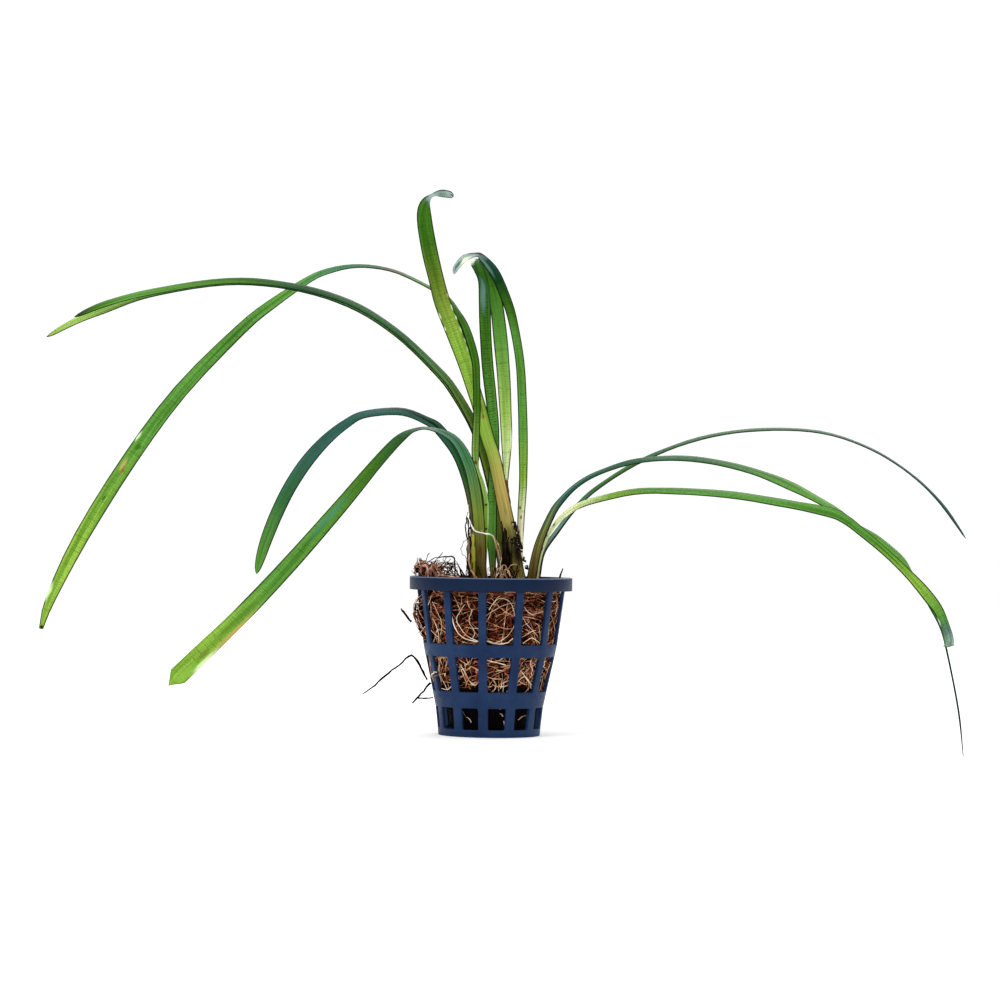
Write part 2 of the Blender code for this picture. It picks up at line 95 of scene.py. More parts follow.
# Leaves. Each station is x, depth y, height z, blade width and turn: at turn 0
# the blade faces the front, and at 90 it is seen edge on.
LONG_LEFT_LEAF = [
    (-2.4, -4.0, 48.0, 2.6, 60), (-2.6, -5.0, 53.0, 2.6, 60), (-2.2, -6.0, 64.5, 2.6, 50),
    (-2.1, -7.0, 76.0, 2.6, 45), (-3.3, -8.2, 82.5, 2.2, 40), (-5.1, -9.2, 87.8, 2.2, 55),
    (-5.7, -9.6, 92.5, 2.6, 10), (-5.6, -9.6, 99.5, 2.6, 5), (-5.4, -9.5, 107.5, 2.5, 0),
    (-5.7, -9.0, 117.0, 2.5, 5), (-6.2, -8.5, 123.5, 2.7, 10), (-8.3, -6.2, 130.9, 2.9, 20),
    (-10.3, -1.8, 135.9, 3.0, 30), (-12.7, 1.5, 139.9, 3.3, 45), (-16.0, 6.0, 144.6, 3.8, 60),
    (-21.0, 9.5, 147.9, 4.2, 72), (-32.0, 13.0, 153.3, 4.6, 74), (-40.6, 15.2, 155.4, 4.6, 72),
    (-48.5, 16.6, 155.6, 4.7, 68), (-56.3, 17.8, 154.0, 4.8, 61), (-63.0, 18.0, 151.0, 4.8, 55),
    (-75.5, 16.5, 142.2, 4.8, 40), (-85.3, 14.0, 133.6, 4.8, 30), (-104.4, 8.0, 112.7, 5.0, 10),
    (-120.0, 2.0, 90.1, 5.2, 5), (-134.9, -6.0, 63.9, 5.0, 0), (-144.0, -12.0, 43.5, 3.4, 0),
    (-146.8, -14.0, 33.4, 1.4, 0),
]
UPPER_LEFT_LEAF = [
    (5.5, 4.5, 48.0, 3.0, 0), (3.5, 4.0, 58.0, 3.0, 0), (1.5, 3.5, 74.5, 3.0, 10),
    (-2.0, 2.5, 89.0, 3.2, 25), (-6.0, -0.5, 101.5, 3.6, 35), (-12.3, -4.0, 112.7, 3.9, 48),
    (-18.3, -6.0, 120.0, 4.2, 54), (-32.5, -8.0, 132.8, 4.3, 60), (-47.8, -8.0, 141.9, 4.4, 60),
    (-67.5, -6.0, 147.3, 4.4, 58), (-89.0, -2.0, 148.8, 4.4, 58), (-114.5, 4.0, 145.2, 4.2, 56),
    (-130.0, 7.0, 141.2, 3.8, 52), (-140.2, 8.0, 136.8, 1.8, 42),
]
UPPER_LEFT_BACK_LEAF = [
    (5.0, 9.0, 48.0, 2.6, 0), (3.0, 8.5, 58.0, 2.6, 0), (1.0, 8.0, 74.5, 2.6, 10),
    (-2.5, 6.5, 89.5, 2.8, 25), (-6.5, 3.5, 101.5, 3.2, 35), (-12.8, 0.0, 112.2, 3.8, 48),
    (-18.9, -2.0, 119.6, 4.0, 56), (-32.4, -4.0, 132.0, 4.2, 60), (-48.2, -4.0, 141.4, 4.2, 61),
    (-67.5, -2.0, 147.0, 4.2, 60), (-89.5, 2.0, 148.5, 4.2, 60), (-115.0, 8.0, 144.7, 4.2, 55),
    (-130.5, 11.0, 139.5, 4.2, 50), (-140.5, 13.0, 135.7, 3.8, 48), (-150.3, 15.0, 130.4, 1.6, 40),
]
SHORT_LEFT_LEAF = [
    (-6.0, -5.5, 48.5, 3.0, 0), (-5.5, -6.5, 58.0, 3.0, 0), (-6.1, -9.0, 74.5, 3.2, 0),
    (-10.5, -12.5, 90.2, 3.5, 15), (-16.9, -15.5, 99.6, 4.0, 28), (-21.6, -18.5, 103.0, 4.2, 46),
    (-30.0, -22.0, 105.8, 4.8, 56), (-41.5, -27.0, 104.6, 4.8, 56), (-47.5, -30.0, 101.3, 4.8, 48),
    (-53.7, -33.0, 95.9, 4.7, 36), (-59.5, -35.0, 89.0, 4.7, 25), (-64.5, -36.5, 81.1, 4.6, 20),
    (-68.3, -37.5, 73.2, 4.5, 18), (-71.5, -38.0, 65.0, 4.2, 17), (-73.6, -38.0, 58.2, 3.3, 15),
    (-74.9, -38.0, 52.8, 1.5, 15),
]
FRONT_LEFT_LEAF = [
    (-3.0, -9.5, 48.0, 3.7, 0), (-3.4, -10.5, 56.0, 3.7, 0), (-3.9, -12.0, 65.0, 4.0, 0),
    (-5.1, -15.0, 77.5, 4.0, 5), (-7.8, -18.5, 89.0, 4.0, 20), (-12.7, -23.0, 97.0, 4.4, 48),
    (-20.2, -28.0, 100.1, 4.8, 76), (-25.6, -32.0, 99.6, 5.0, 75), (-29.9, -36.0, 96.7, 5.2, 52),
    (-37.0, -41.0, 88.6, 5.0, 40), (-47.9, -49.0, 74.7, 5.0, 22), (-63.0, -58.0, 56.5, 5.2, 8),
    (-77.5, -66.0, 40.3, 5.4, 0), (-91.0, -73.0, 26.6, 5.9, 0), (-95.9, -76.0, 21.6, 5.9, 0),
    (-98.6, -77.5, 18.8, 5.6, 0),
]
TALL_MIDDLE_LEAF = [
    (10.2, 1.0, 48.0, 5.4, 0), (8.6, 0.0, 53.0, 5.2, 0), (6.4, -1.0, 64.5, 5.0, 0),
    (3.5, -2.0, 77.5, 4.6, 0), (0.4, -2.5, 91.5, 4.6, 0), (-1.8, -2.8, 98.0, 4.7, 0),
    (-4.5, -3.0, 107.5, 4.5, 0), (-6.6, -3.2, 114.0, 4.7, 0), (-9.0, -3.5, 121.5, 5.1, 0),
    (-12.6, -4.2, 131.0, 5.5, 0), (-17.1, -5.0, 142.0, 5.5, 0), (-19.4, -5.0, 150.0, 5.2, 0),
    (-21.9, -4.0, 160.0, 5.3, 0), (-23.7, -1.0, 170.0, 5.1, 10), (-23.6, 1.5, 175.0, 4.3, 25),
    (-21.5, 3.5, 178.5, 3.0, 72), (-18.4, 3.0, 179.2, 3.1, 42), (-15.8, 1.8, 178.9, 3.1, 44),
    (-14.1, 1.0, 178.5, 2.2, 44),
]
BENT_BACK_LEAF = [
    (0.9, -1.5, 48.0, 1.0, 0), (0.6, -1.5, 53.0, 1.8, 0), (0.1, -1.3, 64.5, 3.2, 0),
    (0.0, 0.0, 77.5, 3.3, 0), (0.4, 0.6, 89.5, 3.4, 0), (0.2, 1.2, 101.0, 3.6, 0),
    (-0.8, 2.4, 111.0, 3.8, 0), (-2.2, 4.2, 122.5, 3.9, 0), (-3.1, 6.0, 134.5, 3.95, 0),
    (-3.5, 7.5, 144.5, 3.9, 0), (-4.1, 9.5, 151.0, 3.5, 0), (-5.7, 11.8, 154.9, 3.4, 0),
    (-6.9, 14.0, 157.2, 3.4, 0), (-5.9, 17.0, 158.6, 3.5, 0), (-4.6, 20.0, 158.0, 3.7, 0),
    (-3.0, 21.8, 155.8, 3.9, 0),
    (-1.4, 22.5, 151.0, 4.3, 0), (0.5, 22.5, 143.5, 4.6, 0), (2.0, 22.5, 132.0, 4.8, 0),
    (3.2, 22.0, 120.0, 4.5, 0), (4.0, 21.0, 108.0, 4.2, 0), (4.5, 20.0, 98.0, 3.7, 0),
    (4.5, 19.0, 84.5, 1.6, 0),
]
TALL_RIGHT_LEAF = [
    (9.3, 6.5, 48.0, 1.8, 0), (9.5, 6.5, 63.0, 2.1, 0), (9.7, 6.5, 73.0, 2.5, 0),
    (10.2, 6.5, 84.5, 2.8, 0), (10.0, 6.5, 98.0, 3.1, 0), (9.5, 6.5, 111.0, 3.1, 0),
    (8.5, 7.0, 124.5, 3.0, 0), (5.9, 8.0, 138.0, 3.1, 0), (3.2, 8.0, 146.0, 3.4, 10),
    (-0.5, 7.5, 153.8, 3.7, 22), (-4.5, 7.0, 158.3, 3.5, 42), (-6.4, 6.5, 159.3, 3.2, 60),
    (-10.1, 5.5, 158.2, 3.3, 40), (-12.6, 5.0, 155.5, 2.5, 28), (-13.4, 4.6, 154.0, 2.0, 24),
    (-13.8, 4.5, 152.6, 1.4, 20),
]
LONG_RIGHT_LEAF = [
    (13.0, -4.0, 48.0, 3.2, 0), (13.5, -4.5, 53.0, 3.2, 0), (15.5, -6.5, 63.0, 2.9, -10),
    (19.5, -10.0, 72.9, 2.8, -30), (22.6, -12.5, 77.7, 3.0, -46), (28.0, -15.5, 83.1, 3.4, -60),
    (35.1, -18.5, 87.1, 3.8, -65), (46.6, -23.0, 90.8, 4.2, -67), (61.5, -29.0, 91.8, 4.5, -64),
    (77.0, -36.0, 89.5, 4.6, -62), (91.6, -42.0, 84.7, 4.7, -52), (107.0, -49.0, 76.7, 4.0, -52),
    (114.7, -52.5, 70.5, 4.2, -48), (121.4, -54.5, 66.4, 4.6, -48), (128.2, -58.0, 60.7, 4.2, -52),
    (131.8, -61.0, 55.4, 3.0, -62), (136.1, -65.0, 47.5, 2.6, -68), (139.7, -69.0, 39.9, 2.3, -70),
    (141.3, -74.0, 32.0, 2.0, -74), (143.7, -83.0, 15.0, 1.6, -76), (144.7, -87.8, 1.2, 1.0, -78),
]
BROAD_RIGHT_LEAF = [
    (15.4, 0.0, 48.0, 1.0, 0), (15.5, 0.0, 55.5, 1.0, 0), (17.6, -1.0, 64.0, 1.2, -10),
    (20.5, -3.0, 69.4, 1.6, -25), (24.0, -5.0, 73.2, 2.2, -40), (28.0, -8.0, 75.9, 3.1, -50),
    (34.5, -11.0, 78.2, 3.9, -58), (47.0, -18.0, 81.0, 4.4, -61), (61.0, -26.0, 81.2, 4.6, -61),
    (76.5, -36.0, 80.2, 4.9, -59), (91.4, -45.0, 77.9, 4.9, -57), (105.5, -54.0, 75.2, 4.6, -44),
    (111.0, -57.5, 72.8, 4.0, -38), (116.1, -59.5, 68.8, 3.2, -28), (123.4, -62.5, 62.6, 2.6, -15),
    (129.6, -65.5, 56.5, 2.8, -8), (133.5, -67.5, 52.2, 3.3, 0), (136.7, -69.5, 48.1, 3.5, 0),
    (138.9, -71.0, 44.8, 3.2, 0), (140.4, -72.5, 41.1, 2.9, 0), (141.6, -74.0, 37.1, 3.0, 0),
    (141.9, -75.0, 34.2, 2.8, 0),
]
THIN_RIGHT_LEAF = [
    (14.5, 5.0, 48.0, 2.4, -20), (15.5, 5.0, 53.0, 2.2, -20), (17.0, 5.0, 60.5, 2.0, -30),
    (21.6, 6.0, 67.4, 2.2, -48), (28.1, 8.0, 75.9, 2.6, -58), (36.0, 11.0, 83.0, 3.0, -63),
    (50.5, 16.0, 92.0, 3.4, -66), (70.0, 23.0, 99.6, 3.4, -69), (90.5, 30.0, 103.0, 3.4, -71),
    (112.0, 37.0, 102.6, 3.4, -73), (129.6, 42.0, 97.3, 3.3, -74), (144.0, 46.0, 88.9, 3.1, -73),
    (155.0, 49.0, 79.0, 2.9, -66), (164.0, 50.6, 66.9, 1.7, -60),
]

# Dead and old leaf bases, with the same stations as a leaf
OLD_PETIOLE = [
    (4.7, -4.2, 48.0, 1.9, 0), (4.6, -4.3, 52.0, 2.1, 10), (4.4, -4.4, 56.0, 1.5, -15),
    (4.4, -4.4, 60.0, 1.8, 12), (4.3, -4.3, 64.0, 1.2, -10), (4.3, -4.2, 68.5, 0.6, 0),
]
DEAD_SHEATH = [
    (-7.5, -9.0, 48.0, 1.1, 0), (-7.2, -9.6, 53.0, 0.8, 30), (-7.3, -10.0, 57.0, 1.1, -20),
    (-7.5, -10.6, 61.5, 1.3, 25), (-7.5, -10.8, 65.0, 0.8, -20), (-7.7, -11.0, 71.5, 0.3, 0),
]
YELLOW_SHEATH = [
    (-6.0, -11.2, 48.0, 1.5, 0), (-5.9, -12.2, 57.0, 1.6, 0), (-6.1, -13.4, 66.6, 0.9, 0),
]
TWISTED_SHEATH = [
    (2.6, -6.0, 48.0, 1.1, 20), (2.9, -6.0, 53.0, 0.8, 70), (2.6, -5.8, 58.0, 0.9, 20),
    (1.6, -5.4, 62.5, 0.8, 60), (0.4, -5.0, 65.6, 0.5, 10),
]
BROWN_SHEATH = [
    (6.6, 4.3, 60.0, 1.4, 0), (5.6, 3.6, 74.5, 1.5, 0), (4.7, 2.6, 84.0, 0.8, 0),
]

# Loose roots: x, depth y, height z and thickness along each
FORKED_ROOT = [
    (-42.0, -6.0, 13.0, 0.3), (-38.6, -5.6, 15.4, 0.55), (-34.5, -5.0, 19.2, 0.7),
    (-30.0, -4.2, 22.8, 0.6), (-25.8, -3.5, 26.0, 0.7), (-22.6, -2.4, 21.6, 0.8),
    (-20.6, -2.0, 18.0, 0.7),
]
UPPER_ROOT = [(-29.6, -3.6, 41.4, 0.5), (-28.4, -3.5, 39.9, 0.8), (-26.2, -3.4, 37.0, 0.8)]
LOWER_ROOT = [(-25.4, -4.0, 10.4, 0.6), (-22.5, -3.4, 13.4, 0.6), (-19.6, -3.0, 17.2, 0.7)]
SIDE_ROOT = [(-23.5, -6.0, 12.2, 0.5), (-21.0, -5.6, 12.0, 0.55), (-18.6, -5.0, 12.2, 0.5)]
ARCHED_ROOT = [
    (-23.0, -10.0, 54.6, 0.3), (-19.4, -12.4, 58.0, 0.35), (-15.0, -13.4, 58.8, 0.45),
    (-12.1, -13.0, 58.4, 0.5), (-11.9, -13.0, 52.0, 0.4),
]
WHITE_ROOT = [
    (-7.8, -17.0, 76.0, 0.22), (-7.4, -16.8, 71.6, 0.3), (-6.3, -16.4, 68.4, 0.42),
    (-4.8, -16.0, 67.1, 0.5), (-1.5, -15.0, 66.6, 0.55), (0.4, -12.0, 65.9, 0.3),
]
DARK_STUB = [(22.4, 2.0, 47.4, 0.8), (22.6, 2.0, 51.5, 0.7), (23.8, 3.0, 55.5, 0.35)]

# Dark strands drawn off the dead bases, and pale hairs beside them
SHEATH_STRANDS = [
    [(-7.7, -11.0, 73.4, 0.25), (-8.4, -11.0, 70.2, 0.5), (-8.6, -11.0, 67.2, 0.55), (-8.0, -11.0, 64.9, 0.5),
     (-7.1, -11.0, 63.6, 0.35)],
    [(-7.5, -12.0, 72.5, 0.3), (-7.1, -12.0, 69.2, 0.5), (-7.5, -12.0, 66.9, 0.45), (-6.9, -12.4, 64.5, 0.6),
     (-6.7, -12.6, 60.6, 0.4), (-6.8, -12.6, 58.2, 0.4)],
    [(-8.1, -10.4, 64.7, 0.25), (-9.6, -10.4, 63.2, 0.2), (-9.9, -10.4, 60.9, 0.2), (-8.5, -10.4, 58.8, 0.2),
     (-7.9, -10.4, 56.7, 0.3)],
    [(-8.2, -10.4, 48.0, 0.6), (-8.0, -10.4, 53.0, 0.5), (-7.7, -10.6, 57.6, 0.3)],
    [(-6.4, -13.0, 48.0, 0.6), (-6.6, -13.0, 53.0, 0.5), (-6.3, -13.0, 57.0, 0.25)],
    [(3.6, -4.8, 48.0, 0.7), (3.9, -5.0, 57.0, 0.5), (3.6, -5.0, 65.0, 0.5), (3.2, -4.8, 71.0, 0.3)],
    [(5.6, -4.8, 48.0, 0.8), (5.2, -5.0, 56.0, 0.6), (5.4, -4.8, 63.0, 0.5), (4.6, -4.6, 68.0, 0.3)],
    [(6.6, -4.8, 48.0, 0.8), (6.1, -5.0, 54.0, 0.6), (6.8, -4.8, 60.0, 0.4), (6.4, -4.6, 64.0, 0.2)],
    [(3.2, -5.6, 48.0, 0.6), (2.4, -5.8, 52.0, 0.5), (3.4, -5.8, 55.5, 0.3)],
    [(1.4, -7.0, 48.0, 0.5), (2.0, -7.0, 51.0, 0.5), (3.0, -7.0, 53.2, 0.3), (4.2, -6.6, 54.6, 0.3)],
]
PALE_HAIRS = [
    [(5.4, -8.0, 53.5, 0.35), (5.8, -8.2, 55.5, 0.35), (7.0, -8.4, 56.6, 0.3), (8.4, -8.4, 56.3, 0.2)],
    [(-7.2, -13.0, 60.0, 0.35), (-7.0, -13.2, 55.3, 0.45), (-5.3, -13.4, 53.1, 0.45),
     (-4.6, -13.4, 51.0, 0.3)],
    [(-4.4, -13.6, 49.0, 0.3), (-5.9, -13.8, 53.5, 0.35), (-6.8, -13.6, 54.4, 0.2)],
    [(0.4, -11.0, 66.0, 0.4), (2.4, -8.6, 62.6, 0.35), (3.2, -8.0, 59.0, 0.3), (2.9, -7.6, 55.0, 0.25)],
    [(0.8, -10.0, 64.8, 0.3), (1.7, -8.8, 61.6, 0.3), (2.6, -8.2, 58.4, 0.2)],
    [(2.6, -6.6, 48.4, 0.35), (3.4, -6.8, 51.4, 0.35), (2.6, -7.0, 54.6, 0.2)],
    [(1.6, -7.2, 53.4, 0.35), (2.8, -7.2, 54.6, 0.4), (4.2, -7.0, 56.4, 0.3), (5.4, -6.8, 55.0, 0.2)],
    [(-3.8, -14.0, 48.4, 0.35), (-2.4, -14.0, 51.0, 0.35), (-2.0, -14.0, 49.0, 0.3)],
    [(0.2, -8.0, 48.6, 0.5), (0.6, -8.0, 51.2, 0.5), (1.4, -8.0, 49.4, 0.4)],
]

# Loops of root in the clump over the rim, and the thin dark arcs beside it
CLUMP_LOOPS = [
    [(-22.5, -11.0, 51.5, 0.6), (-23.0, -14.0, 55.0, 0.9), (-21.0, -15.0, 55.6, 0.9),
     (-20.4, -15.0, 50.0, 0.7)],
    [(-22.0, -13.0, 50.0, 0.6), (-20.6, -14.0, 54.5, 0.9), (-18.6, -15.0, 54.0, 0.8),
     (-17.6, -15.5, 50.5, 0.6)],
    [(-19.8, -15.0, 51.0, 0.5), (-19.0, -15.4, 56.6, 0.5), (-16.6, -15.4, 54.2, 0.5),
     (-14.6, -15.4, 52.6, 0.4)],
    [(-24.6, -8.0, 51.5, 0.4), (-25.2, -8.4, 55.0, 0.4), (-24.2, -8.6, 57.4, 0.3)],
    [(-17.8, -15.6, 52.6, 0.8), (-14.0, -17.0, 52.4, 0.7), (-10.5, -18.0, 52.3, 0.5)],
]
CLUMP_ARCS = [
    [(-20.5, -12.0, 55.0, 0.3), (-17.2, -12.6, 58.6, 0.3), (-15.8, -12.6, 60.4, 0.2)],
    [(-22.0, -11.0, 56.0, 0.25), (-21.0, -11.0, 59.2, 0.25), (-20.2, -11.0, 60.0, 0.2)],
    [(-17.0, -12.8, 51.5, 0.35), (-15.4, -13.0, 55.8, 0.3), (-13.2, -13.0, 58.2, 0.25)],
    [(-15.6, -13.0, 51.5, 0.4), (-13.8, -13.4, 54.2, 0.35), (-12.2, -13.4, 56.8, 0.3)],
    [(-18.4, -12.6, 53.0, 0.25), (-15.6, -13.0, 57.0, 0.25), (-14.6, -13.0, 58.6, 0.2)],
    [(-13.4, -13.2, 51.8, 0.3), (-13.0, -13.4, 54.0, 0.3), (-12.4, -13.4, 52.2, 0.3)],
    [(-23.4, -10.0, 54.0, 0.3), (-24.4, -10.0, 58.2, 0.2)],
]

# Crumbs: lowest and highest place, how many and their spread, and the line of the leaf's edge
CRUMB_BANDS = [(62.0, 65.5, 115, 1.2), (65.5, 70.5, 60, 0.6), (54.0, 62.0, 26, 0.8)]
EDGE_X = 10.4
EDGE_HEIGHT = 60.6
EDGE_LEAN = 0.28

# The heart of the plug: radius and height of each ring
CORE_RINGS = [
    (12.0, 2.0), (13.0, 5.6), (13.8, 9.2), (15.4, 11.8), (16.8, 16.0), (17.9, 20.5), (18.8, 24.8),
    (19.8, 30.0), (20.6, 36.0), (21.4, 42.0), (21.8, 46.0), (20.0, 47.4), (11.0, 47.8),
]
CORE_CORNERS = 60
# Painted shade turns the plug nearly black below the first height, fading out by the second
CORE_PAINTED_SHADE = (14.0 * MM, 19.0 * MM)
ROUGH_ABOVE = 12.0
ROUGH_BEYOND = 5.0
CLEAR_OF_DRUM = 2.0

# Shaping of a leaf
CORNERS = 12
MOST_RINGS = 100
TIP_THINNESS = 0.45
TIP_LENGTH = 12.0
RIPPLE_TURN = 4.0
RIPPLE_WIDTH = 0.03
RIPPLE_PER_MM = 0.09
LEAST_ROUND_END = 0.12
LEAST_POINTED_END = 0.05
MARGIN_WIDTH = 0.36
LEAST_MARGIN_START = 0.6
CROWN_STRANDS = 70

# Floor and lights, in metres
FLOOR_SIZE = 12.0
FLOOR_COLOUR = (0.95, 0.95, 0.95, 1.0)
ROOM_COLOUR = (1.0, 1.0, 1.0, 1.0)
ROOM_STRENGTH = 1.06
LIGHTS = [
    ("soft light above left", (-0.5, -0.5, 0.9), 0.6, 5.0),
    ("soft light behind", (0.3, 0.8, 0.8), 0.8, 5.0),
]
LIGHTS_AIM = (0.0, 0.0, 0.08)

# Camera, in millimetres and degrees
CAMERA_PLACE = (2.654, -1100.0, 72.0)
CAMERA_RISE = 0.297
CAMERA_ROLL = -0.8
CAMERA_LENS = 119.63
SENSOR_WIDTH = 36.0


# Working in edit mode

def begin_edit(piece, kind="VERT"):
    bpy.context.view_layer.objects.active = piece
    bpy.ops.object.mode_set(mode="EDIT")
    bpy.ops.mesh.select_mode(type=kind)
    bpy.ops.mesh.select_all(action="DESELECT")


def end_edit():
    bpy.ops.object.mode_set(mode="OBJECT")


def select_nothing():
    bpy.ops.object.select_all(action="DESELECT")


def pick(piece, items, wanted):
    """Select the faces, edges or verts that wanted accepts, and nothing else."""
    bpy.ops.mesh.select_all(action="DESELECT")
    shape = bmesh.from_edit_mesh(piece.data)
    found = 0
    for item in getattr(shape, items):
        if wanted(item):
            item.select_set(True)
            found += 1
    bmesh.update_edit_mesh(piece.data)
    return found


def pick_numbered(piece, numbers):
    """Select the vertices with these indices, and nothing else."""
    bpy.ops.mesh.select_all(action="DESELECT")
    shape = bmesh.from_edit_mesh(piece.data)
    shape.verts.ensure_lookup_table()
    for number in numbers:
        shape.verts[number].select_set(True)
    shape.select_flush_mode()


def turn_about(axis, angle):
    """Turn the selection by an angle in radians. Without a window the operator turns the other way."""
    bpy.ops.transform.rotate(
        value=-angle, orient_axis=axis, orient_type="GLOBAL", center_override=(0.0, 0.0, 0.0)
    )


def widen(sideways, depthways):
    """Scale the selection about the upright axis."""
    bpy.ops.transform.resize(value=(sideways, depthways, 1.0), center_override=(0.0, 0.0, 0.0))


def raise_by(height):
    bpy.ops.transform.translate(value=(0.0, 0.0, height))


def cut_drum(corners, rings, fill):
    """A drum one metre high and in radius, cut into rings and left in edit mode."""
    select_nothing()
    bpy.ops.mesh.primitive_cylinder_add(
        vertices=corners, radius=1.0, depth=1.0, end_fill_type=fill, location=(0.0, 0.0, 0.0)
    )
    drum = bpy.context.object
    begin_edit(drum, "EDGE")
    pick(drum, "edges", lambda edge: abs(edge.verts[0].co.z - edge.verts[1].co.z) > 0.5)
    bpy.ops.mesh.subdivide(number_cuts=rings - 2)
    bpy.ops.mesh.select_mode(type="VERT")
    return drum


def apply_modifier(piece, kind, **settings):
    modifier = piece.modifiers.new(kind.lower(), kind)
    for name, value in settings.items():
        setattr(modifier, name, value)
    bpy.context.view_layer.objects.active = piece
    bpy.ops.object.modifier_apply(modifier=modifier.name)


def finish_piece(piece, name, material, angle, nodes=()):
    """Name, shade and paint a piece, and hang it on the body in place of its CAD nodes."""
    piece.name = name
    piece.data.name = name
    piece.data.materials.clear()
    piece.data.materials.append(material)
    select_nothing()
    piece.select_set(True)
    bpy.context.view_layer.objects.active = piece
    bpy.ops.object.shade_smooth_by_angle(angle=math.radians(angle))
    select_nothing()
    if nodes:
        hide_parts(*nodes)
    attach(piece, "root")


# Node trees

def tone(code):
    """A display colour written as six hex digits, as linear red, green and blue."""
    parts = [int(code[start:start + 2], 16) / 255.0 for start in (0, 2, 4)]
    return tuple(part / 12.92 if part <= 0.04045 else ((part + 0.055) / 1.055) ** 2.4 for part in parts)


def put(tree, kind, sockets=None, **settings):
    """Add a node, set what it is told, and link or fill its sockets."""
    made = tree.nodes.new(kind)
    for name, value in settings.items():
        setattr(made, name, value)
    for name, value in (sockets or {}).items():
        if isinstance(value, bpy.types.NodeSocket):
            tree.links.new(value, made.inputs[name])
        else:
            made.inputs[name].default_value = value
    return made


def maths(tree, operation, first, second=0.0, third=0.0):
    return put(tree, "ShaderNodeMath", {0: first, 1: second, 2: third}, operation=operation).outputs[0]


def times(tree, first, second):
    return maths(tree, "MULTIPLY", first, second)


def between(tree, value, low, high, start=0.0, end=1.0):
    """Smoothly from start at low to end at high."""
    sockets = {"Value": value, "From Min": low, "From Max": high, "To Min": start, "To Max": end}
    return put(tree, "ShaderNodeMapRange", sockets, interpolation_type="SMOOTHSTEP").outputs["Result"]


def noise_over(tree, place, scale, detail, roughness=0.5):
    """Soft noise between 0 and 1."""
    sockets = {"Vector": place, "Scale": scale, "Detail": detail, "Roughness": roughness}
    return put(tree, "ShaderNodeTexNoise", sockets).outputs["Fac"]


def length_of(tree, place):
    return put(tree, "ShaderNodeVectorMath", {0: place}, operation="LENGTH").outputs["Value"]


def tint(tree, mask, under, over, blend="MIX"):
    """Lay the colour over onto the colour under where the mask says."""
    under, over = [(*colour, 1.0) if isinstance(colour, tuple) else colour for colour in (under, over)]
    sockets = {0: mask, 6: under, 7: over}
    return put(tree, "ShaderNodeMix", sockets, data_type="RGBA", blend_type=blend).outputs[2]


def ramp(tree, value, stops):
    """A colour ramp with these places and display colours."""
    made = put(tree, "ShaderNodeValToRGB", {"Fac": value})
    elements = made.color_ramp.elements
    while len(elements) < len(stops):
        elements.new(0.5)
    for element, (place, code) in zip(elements, stops):
        element.position = place
        element.color = (*tone(code), 1.0)
    return made.outputs["Color"]


def bumpy(tree, height, strength, depth):
    """A normal from a height, with its depth in millimetres."""
    sockets = {"Height": height, "Strength": strength, "Distance": depth * MM}
    return put(tree, "ShaderNodeBump", sockets).outputs["Normal"]


def skin(tree, colour, roughness, shine, normal=None):
    """A smooth surface. shine is its specular level."""
    sockets = {"Base Color": colour, "Roughness": roughness, "Specular IOR Level": shine}
    if normal is not None:
        sockets["Normal"] = normal
    return put(tree, "ShaderNodeBsdfPrincipled", sockets).outputs[0]


def end_tree(tree, surface):
    put(tree, "ShaderNodeOutputMaterial", {"Surface": surface})


def new_group(name, inputs, outputs):
    """A shader node group with named inputs and outputs, each a socket kind and a start value."""
    group = bpy.data.node_groups.new(name, "ShaderNodeTree")
    for label, kind, value in inputs:
        socket = group.interface.new_socket(name=label, in_out="INPUT", socket_type=kind)
        socket.default_value = value
    for label, kind in outputs:
        group.interface.new_socket(name=label, in_out="OUTPUT", socket_type=kind)
    return group, group.nodes.new("NodeGroupInput").outputs, group.nodes.new("NodeGroupOutput").inputs


def new_material(name):
    material = bpy.data.materials.new(name)
    material.use_nodes = True
    material.node_tree.nodes.clear()
    return material, material.node_tree


